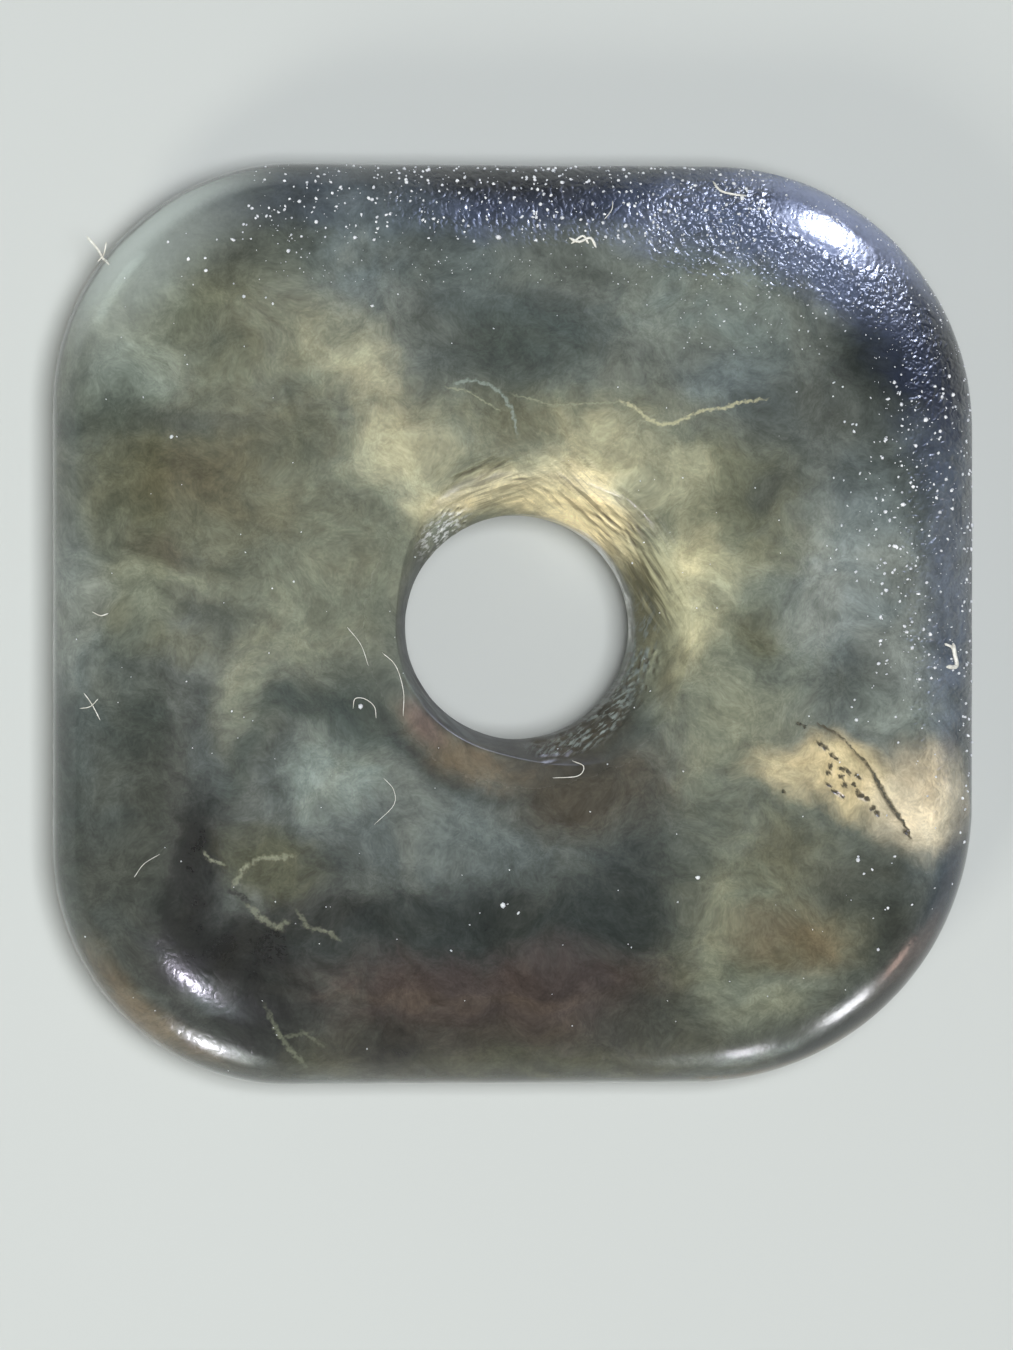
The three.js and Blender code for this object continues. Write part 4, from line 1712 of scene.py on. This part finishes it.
@dataclass(frozen=True)
class Lint:
    """Fibres of lint that lie on the plaque's front.

    Attributes:
        plaque: The form they lie on.
        steps: Steps along each leg of a fibre.
        sides: Sides of a fibre.
        lift: How high a fibre's middle is above the stone, as a share of its half thickness.
        tip: Its thickness at its ends, as a share of its thickness between them.
    """

    plaque: Plaque
    steps: int = 7
    sides: int = 6
    lift: float = 0.6
    tip: float = 0.35

    def line(self, fibre: Fibre) -> np.ndarray:
        """Draws a smooth line through a fibre's turning points, on the stone.

        Args:
            fibre: The fibre.

        Returns:
            Points along the line.
        """
        ends = np.array(fibre.path)
        ends = np.concatenate([2 * ends[:1] - ends[1:2], ends, 2 * ends[-1:] - ends[-2:-1]])
        share = np.linspace(0, 1, self.steps, endpoint=False)[:, None]
        legs = []
        for a, b, c, d in zip(ends, ends[1:], ends[2:], ends[3:]):
            legs.append(0.5 * (2 * b + (c - a) * share + (2 * a - 5 * b + 4 * c - d) * share**2
                               + (3 * b - a - 3 * c + d) * share**3))
        line = np.concatenate([*legs, ends[-2:-1]])
        line[:, 2] += self.plaque.front_height(line[:, :2]) + self.lift * fibre.radius
        return line

    def tube(self, line: np.ndarray, radius: float) -> tuple[np.ndarray, np.ndarray]:
        """Wraps a closed tube round a line.

        Args:
            line: Points along its middle.
            radius: Its half thickness, which tapers at the ends.

        Returns:
            Its corners and its faces.
        """
        way = np.gradient(line, axis=0)
        way /= np.linalg.norm(way, axis=1, keepdims=True)
        side = np.cross(way, [0, 0, 1])
        side /= np.linalg.norm(side, axis=1, keepdims=True)
        up = np.cross(side, way)
        share = np.linspace(0, 1, len(line))
        girth = radius * np.clip(np.minimum(share, 1 - share) * 8 + self.tip, 0, 1)
        turn = np.arange(self.sides) / self.sides * 2 * math.pi
        rings = (line[:, None] + girth[:, None, None] * (np.cos(turn)[:, None] * side[:, None]
                                                         + np.sin(turn)[:, None] * up[:, None]))
        index = np.arange(len(line) * self.sides).reshape(len(line), self.sides)
        beside = np.roll(index, -1, 1)
        quads = np.stack([index[:-1], index[1:], beside[1:], beside[:-1]], -1).reshape(-1, 4)
        first, last = len(line) * self.sides, len(line) * self.sides + 1
        caps = [(first, index[0, k], beside[0, k]) for k in range(self.sides)]
        caps += [(last, beside[-1, k], index[-1, k]) for k in range(self.sides)]
        halves = np.concatenate([quads[:, [0, 1, 2]], quads[:, [0, 2, 3]]])
        return np.concatenate([rings.reshape(-1, 3), line[:1], line[-1:]]), np.concatenate([halves, caps])

    def build(self) -> bpy.types.Object:
        """Makes the lint.

        Returns:
            One mesh object of all the fibres.
        """
        points, tables, count = [], [], 0
        for fibre in FIBRES:
            corners, faces = self.tube(self.line(fibre), fibre.radius)
            tables.append(faces + count)
            points.append(corners)
            count += len(corners)
        piece = mesh_object("lint", np.concatenate(points), np.concatenate(tables))
        piece.data.materials.append(FluffFinish("pale_lint", (205, 203, 190), (245, 244, 236)).material())
        return piece


@dataclass(frozen=True)
class Lamp:
    """A soft studio light, aimed at the plaque.

    Attributes:
        name: What it is.
        bearing: Its direction round the plaque from the right edge, anticlockwise, in degrees.
        height: Its angle above the floor, in degrees.
        size: Its width and height.
        brightness: Its radiance.
        colour: Its display colour.
        away: Its distance from the plaque.
        mirrored: Whether the polish shows its reflection.
        felt: Whether it lights the stone as well, rather than only shining in its polish.
    """

    name: str
    bearing: float
    height: float
    size: tuple[float, float]
    brightness: float
    colour: tuple[float, float, float] = (255, 255, 255)
    away: float = 220.0
    mirrored: bool = True
    felt: bool = True

    def place(self) -> None:
        """Adds the light to the scene."""
        light = bpy.data.lights.new(self.name, "AREA")
        light.shape = "RECTANGLE"
        light.size, light.size_y = (s * MM for s in self.size)
        light.energy = self.brightness * math.pi * light.size * light.size_y
        light.color = linear(*self.colour)[:3]
        lamp = bpy.data.objects.new(self.name, light)
        turn, rise = math.radians(self.bearing), math.radians(self.height)
        way = Vector((math.cos(turn) * math.cos(rise), math.sin(turn) * math.cos(rise), math.sin(rise)))
        lamp.location = way * self.away * MM
        lamp.rotation_euler = way.to_track_quat("Z", "Y").to_euler()
        lamp.visible_glossy = self.mirrored
        lamp.visible_diffuse = self.felt
        bpy.context.scene.collection.objects.link(lamp)


LAMPS = (
    Lamp("overhead_softbox", 90, 90, (90, 90), 33.2, (251, 252, 255), 300, mirrored=False),
    Lamp("lower_left_key", 228, 36, (60, 60), 12.0, (255, 252, 242), mirrored=False),
    Lamp("blue_panel", 55, 25, (90, 200), 3.8, (184, 200, 252), felt=False),
    Lamp("hot_lamp", 54, 17, (42, 84), 60.0, (222, 230, 255), felt=False),
    Lamp("left_panel", 142, 5, (90, 70), 2.6, (236, 255, 248)),
    Lamp("foot_left_high", -121, 51, (22, 16), 80.0, (240, 234, 255), felt=False),
    Lamp("foot_left_low", -110, 3, (34, 10), 130.0, (244, 242, 255), felt=False),
    Lamp("foot_right_strip", -49, 6, (40, 44), 19.0, (250, 250, 255), felt=False),
    Lamp("foot_right_glow", -35, 2, (34, 40), 6.0, (255, 216, 202), felt=False),
    Lamp("foot_panel", -72, 6, (32, 40), 13.0, (240, 238, 248), felt=False),
)


@dataclass(frozen=True)
class Studio:
    """The pale floor, the soft lights and the camera.

    Attributes:
        lean: The camera's lean from straight above towards the left edge, in degrees.
        away: The camera's distance from the plaque's centre.
        span: The share of the view's width that the plaque fills.
        offset: How far the plaque's centre sits from the view's centre, right and up, in shares of its
            width.
        floor_reach: Half the floor's width.
        floor_gap: How far below the plaque the floor lies.
    """

    lean: float = 7.0
    away: float = 220.0
    span: float = 0.90622
    offset: tuple[float, float] = (0.00839, 0.05035)
    floor_reach: float = 1500.0
    floor_gap: float = 0.02

    def build(self) -> None:
        """Sets the stage."""
        self.floor()
        self.room()
        self.camera()
        for lamp in LAMPS:
            lamp.place()
        bpy.context.scene.view_settings.view_transform = "Standard"

    def floor(self) -> None:
        """Lays the plain pale floor."""
        quarters = np.array([[-1, -1, 0], [1, -1, 0], [1, 1, 0], [-1, 1, 0]])
        corners = quarters * self.floor_reach - [0, 0, self.floor_gap]
        sheet = mesh_object("floor", corners, np.array([[0, 1, 2, 3]]))
        material, _, shader = new_material("pale_floor")
        shader.inputs["Base Color"].default_value = linear(200, 204, 201)
        shader.inputs["Roughness"].default_value = 1.0
        shader.inputs["Specular IOR Level"].default_value = 0.0
        sheet.data.materials.append(material)

    def room(self) -> None:
        """Fills the room with even light, dimmer overhead and towards the top right."""
        world = bpy.data.worlds.new("room")
        world.use_nodes = True
        graph = Graph(world.node_tree)
        way = graph.add("TexCoord").outputs["Generated"]
        height = graph.add("SeparateXYZ", {0: way}).outputs["Z"]
        side = graph.add("VectorMath", {0: way, 1: (0.75, 0.66, 0)}, operation="DOT_PRODUCT")
        rise = graph.ease(height, 0.25, 0.9, 0.32, 0.06)
        dim = graph.ease(side.outputs["Value"], -0.6, 0.7, 1.0, 0.35)
        backdrop = graph.nodes["Background"]
        backdrop.inputs["Color"].default_value = linear(238, 242, 242)
        graph.feed(backdrop.inputs["Strength"], graph.maths("MULTIPLY", rise, dim))
        bpy.context.scene.world = world

    def camera(self) -> None:
        """Places the camera."""
        low, high = CAD_BOX
        middle = (low + high) / 2
        lean = math.radians(self.lean)
        back = Vector((-math.sin(lean), 0, math.cos(lean)))
        right, up = Vector((math.cos(lean), 0, math.sin(lean))), Vector((0, 1, 0))
        wide = (high.x - low.x) * math.cos(lean) / self.span
        lens = bpy.data.cameras.new("camera")
        lens.sensor_fit = "HORIZONTAL"
        lens.sensor_width = 36.0
        lens.lens = lens.sensor_width * self.away * MM / wide
        lens.clip_start, lens.clip_end = 0.001, 10.0
        camera = bpy.data.objects.new("camera", lens)
        aim = middle - right * (self.offset[0] * wide) - up * (self.offset[1] * wide)
        camera.location = aim + back * self.away * MM
        camera.rotation_euler = Matrix((right, up, back)).transposed().to_euler()
        bpy.context.scene.collection.objects.link(camera)
        bpy.context.scene.camera = camera


@dataclass(frozen=True)
class DressedPlaque:
    """The plaque with its relief and its finish.

    Attributes:
        plaque: Its smooth form.
        relief: What lies in its surface.
    """

    plaque: Plaque
    relief: Relief

    def build(self) -> bpy.types.Object:
        """Makes the dressed plaque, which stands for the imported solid.

        Returns:
            The new object.
        """
        points = self.plaque.surface()
        cuts = self.relief.cuts(points)
        lift = cuts + self.relief.waves(points)
        piece = grid_mesh("jade_plaque", points + lift[..., None] * grid_normals(points))
        note(piece, "inset", self.plaque.inset(points[..., :2]))
        note(piece, "cut", cuts)
        note(piece, "peel", self.relief.peel(points))
        veins = tuple(cloud for vein in VEINS for cloud in vein.clouds)
        stains = (*CRACK.stains, *(pit.stain for pit in PITS))
        finish = JadeFinish(CLOUDS + veins + stains, self.plaque.bore_centre, self.plaque.bore_radius)
        piece.data.materials.append(finish.material())
        return piece


def main() -> None:
    """Builds the stage, the dressed plaque, its dust and its lint."""
    logging.basicConfig(level=logging.INFO, format="%(message)s")
    Studio().build()
    low, high = (np.array(corner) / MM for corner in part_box(NODE))
    plaque = Plaque(low, high)
    stone = DressedPlaque(plaque, Relief(plaque)).build()
    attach(stone, BODY)
    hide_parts(NODE)
    log.info("%s: %d faces", stone.name, len(stone.data.polygons))
    for piece in (Dust(plaque).build(), Lint(plaque).build()):
        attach(piece, BODY)
        log.info("%s: %d faces", piece.name, len(piece.data.polygons))


if __name__ == "__main__":
    main()
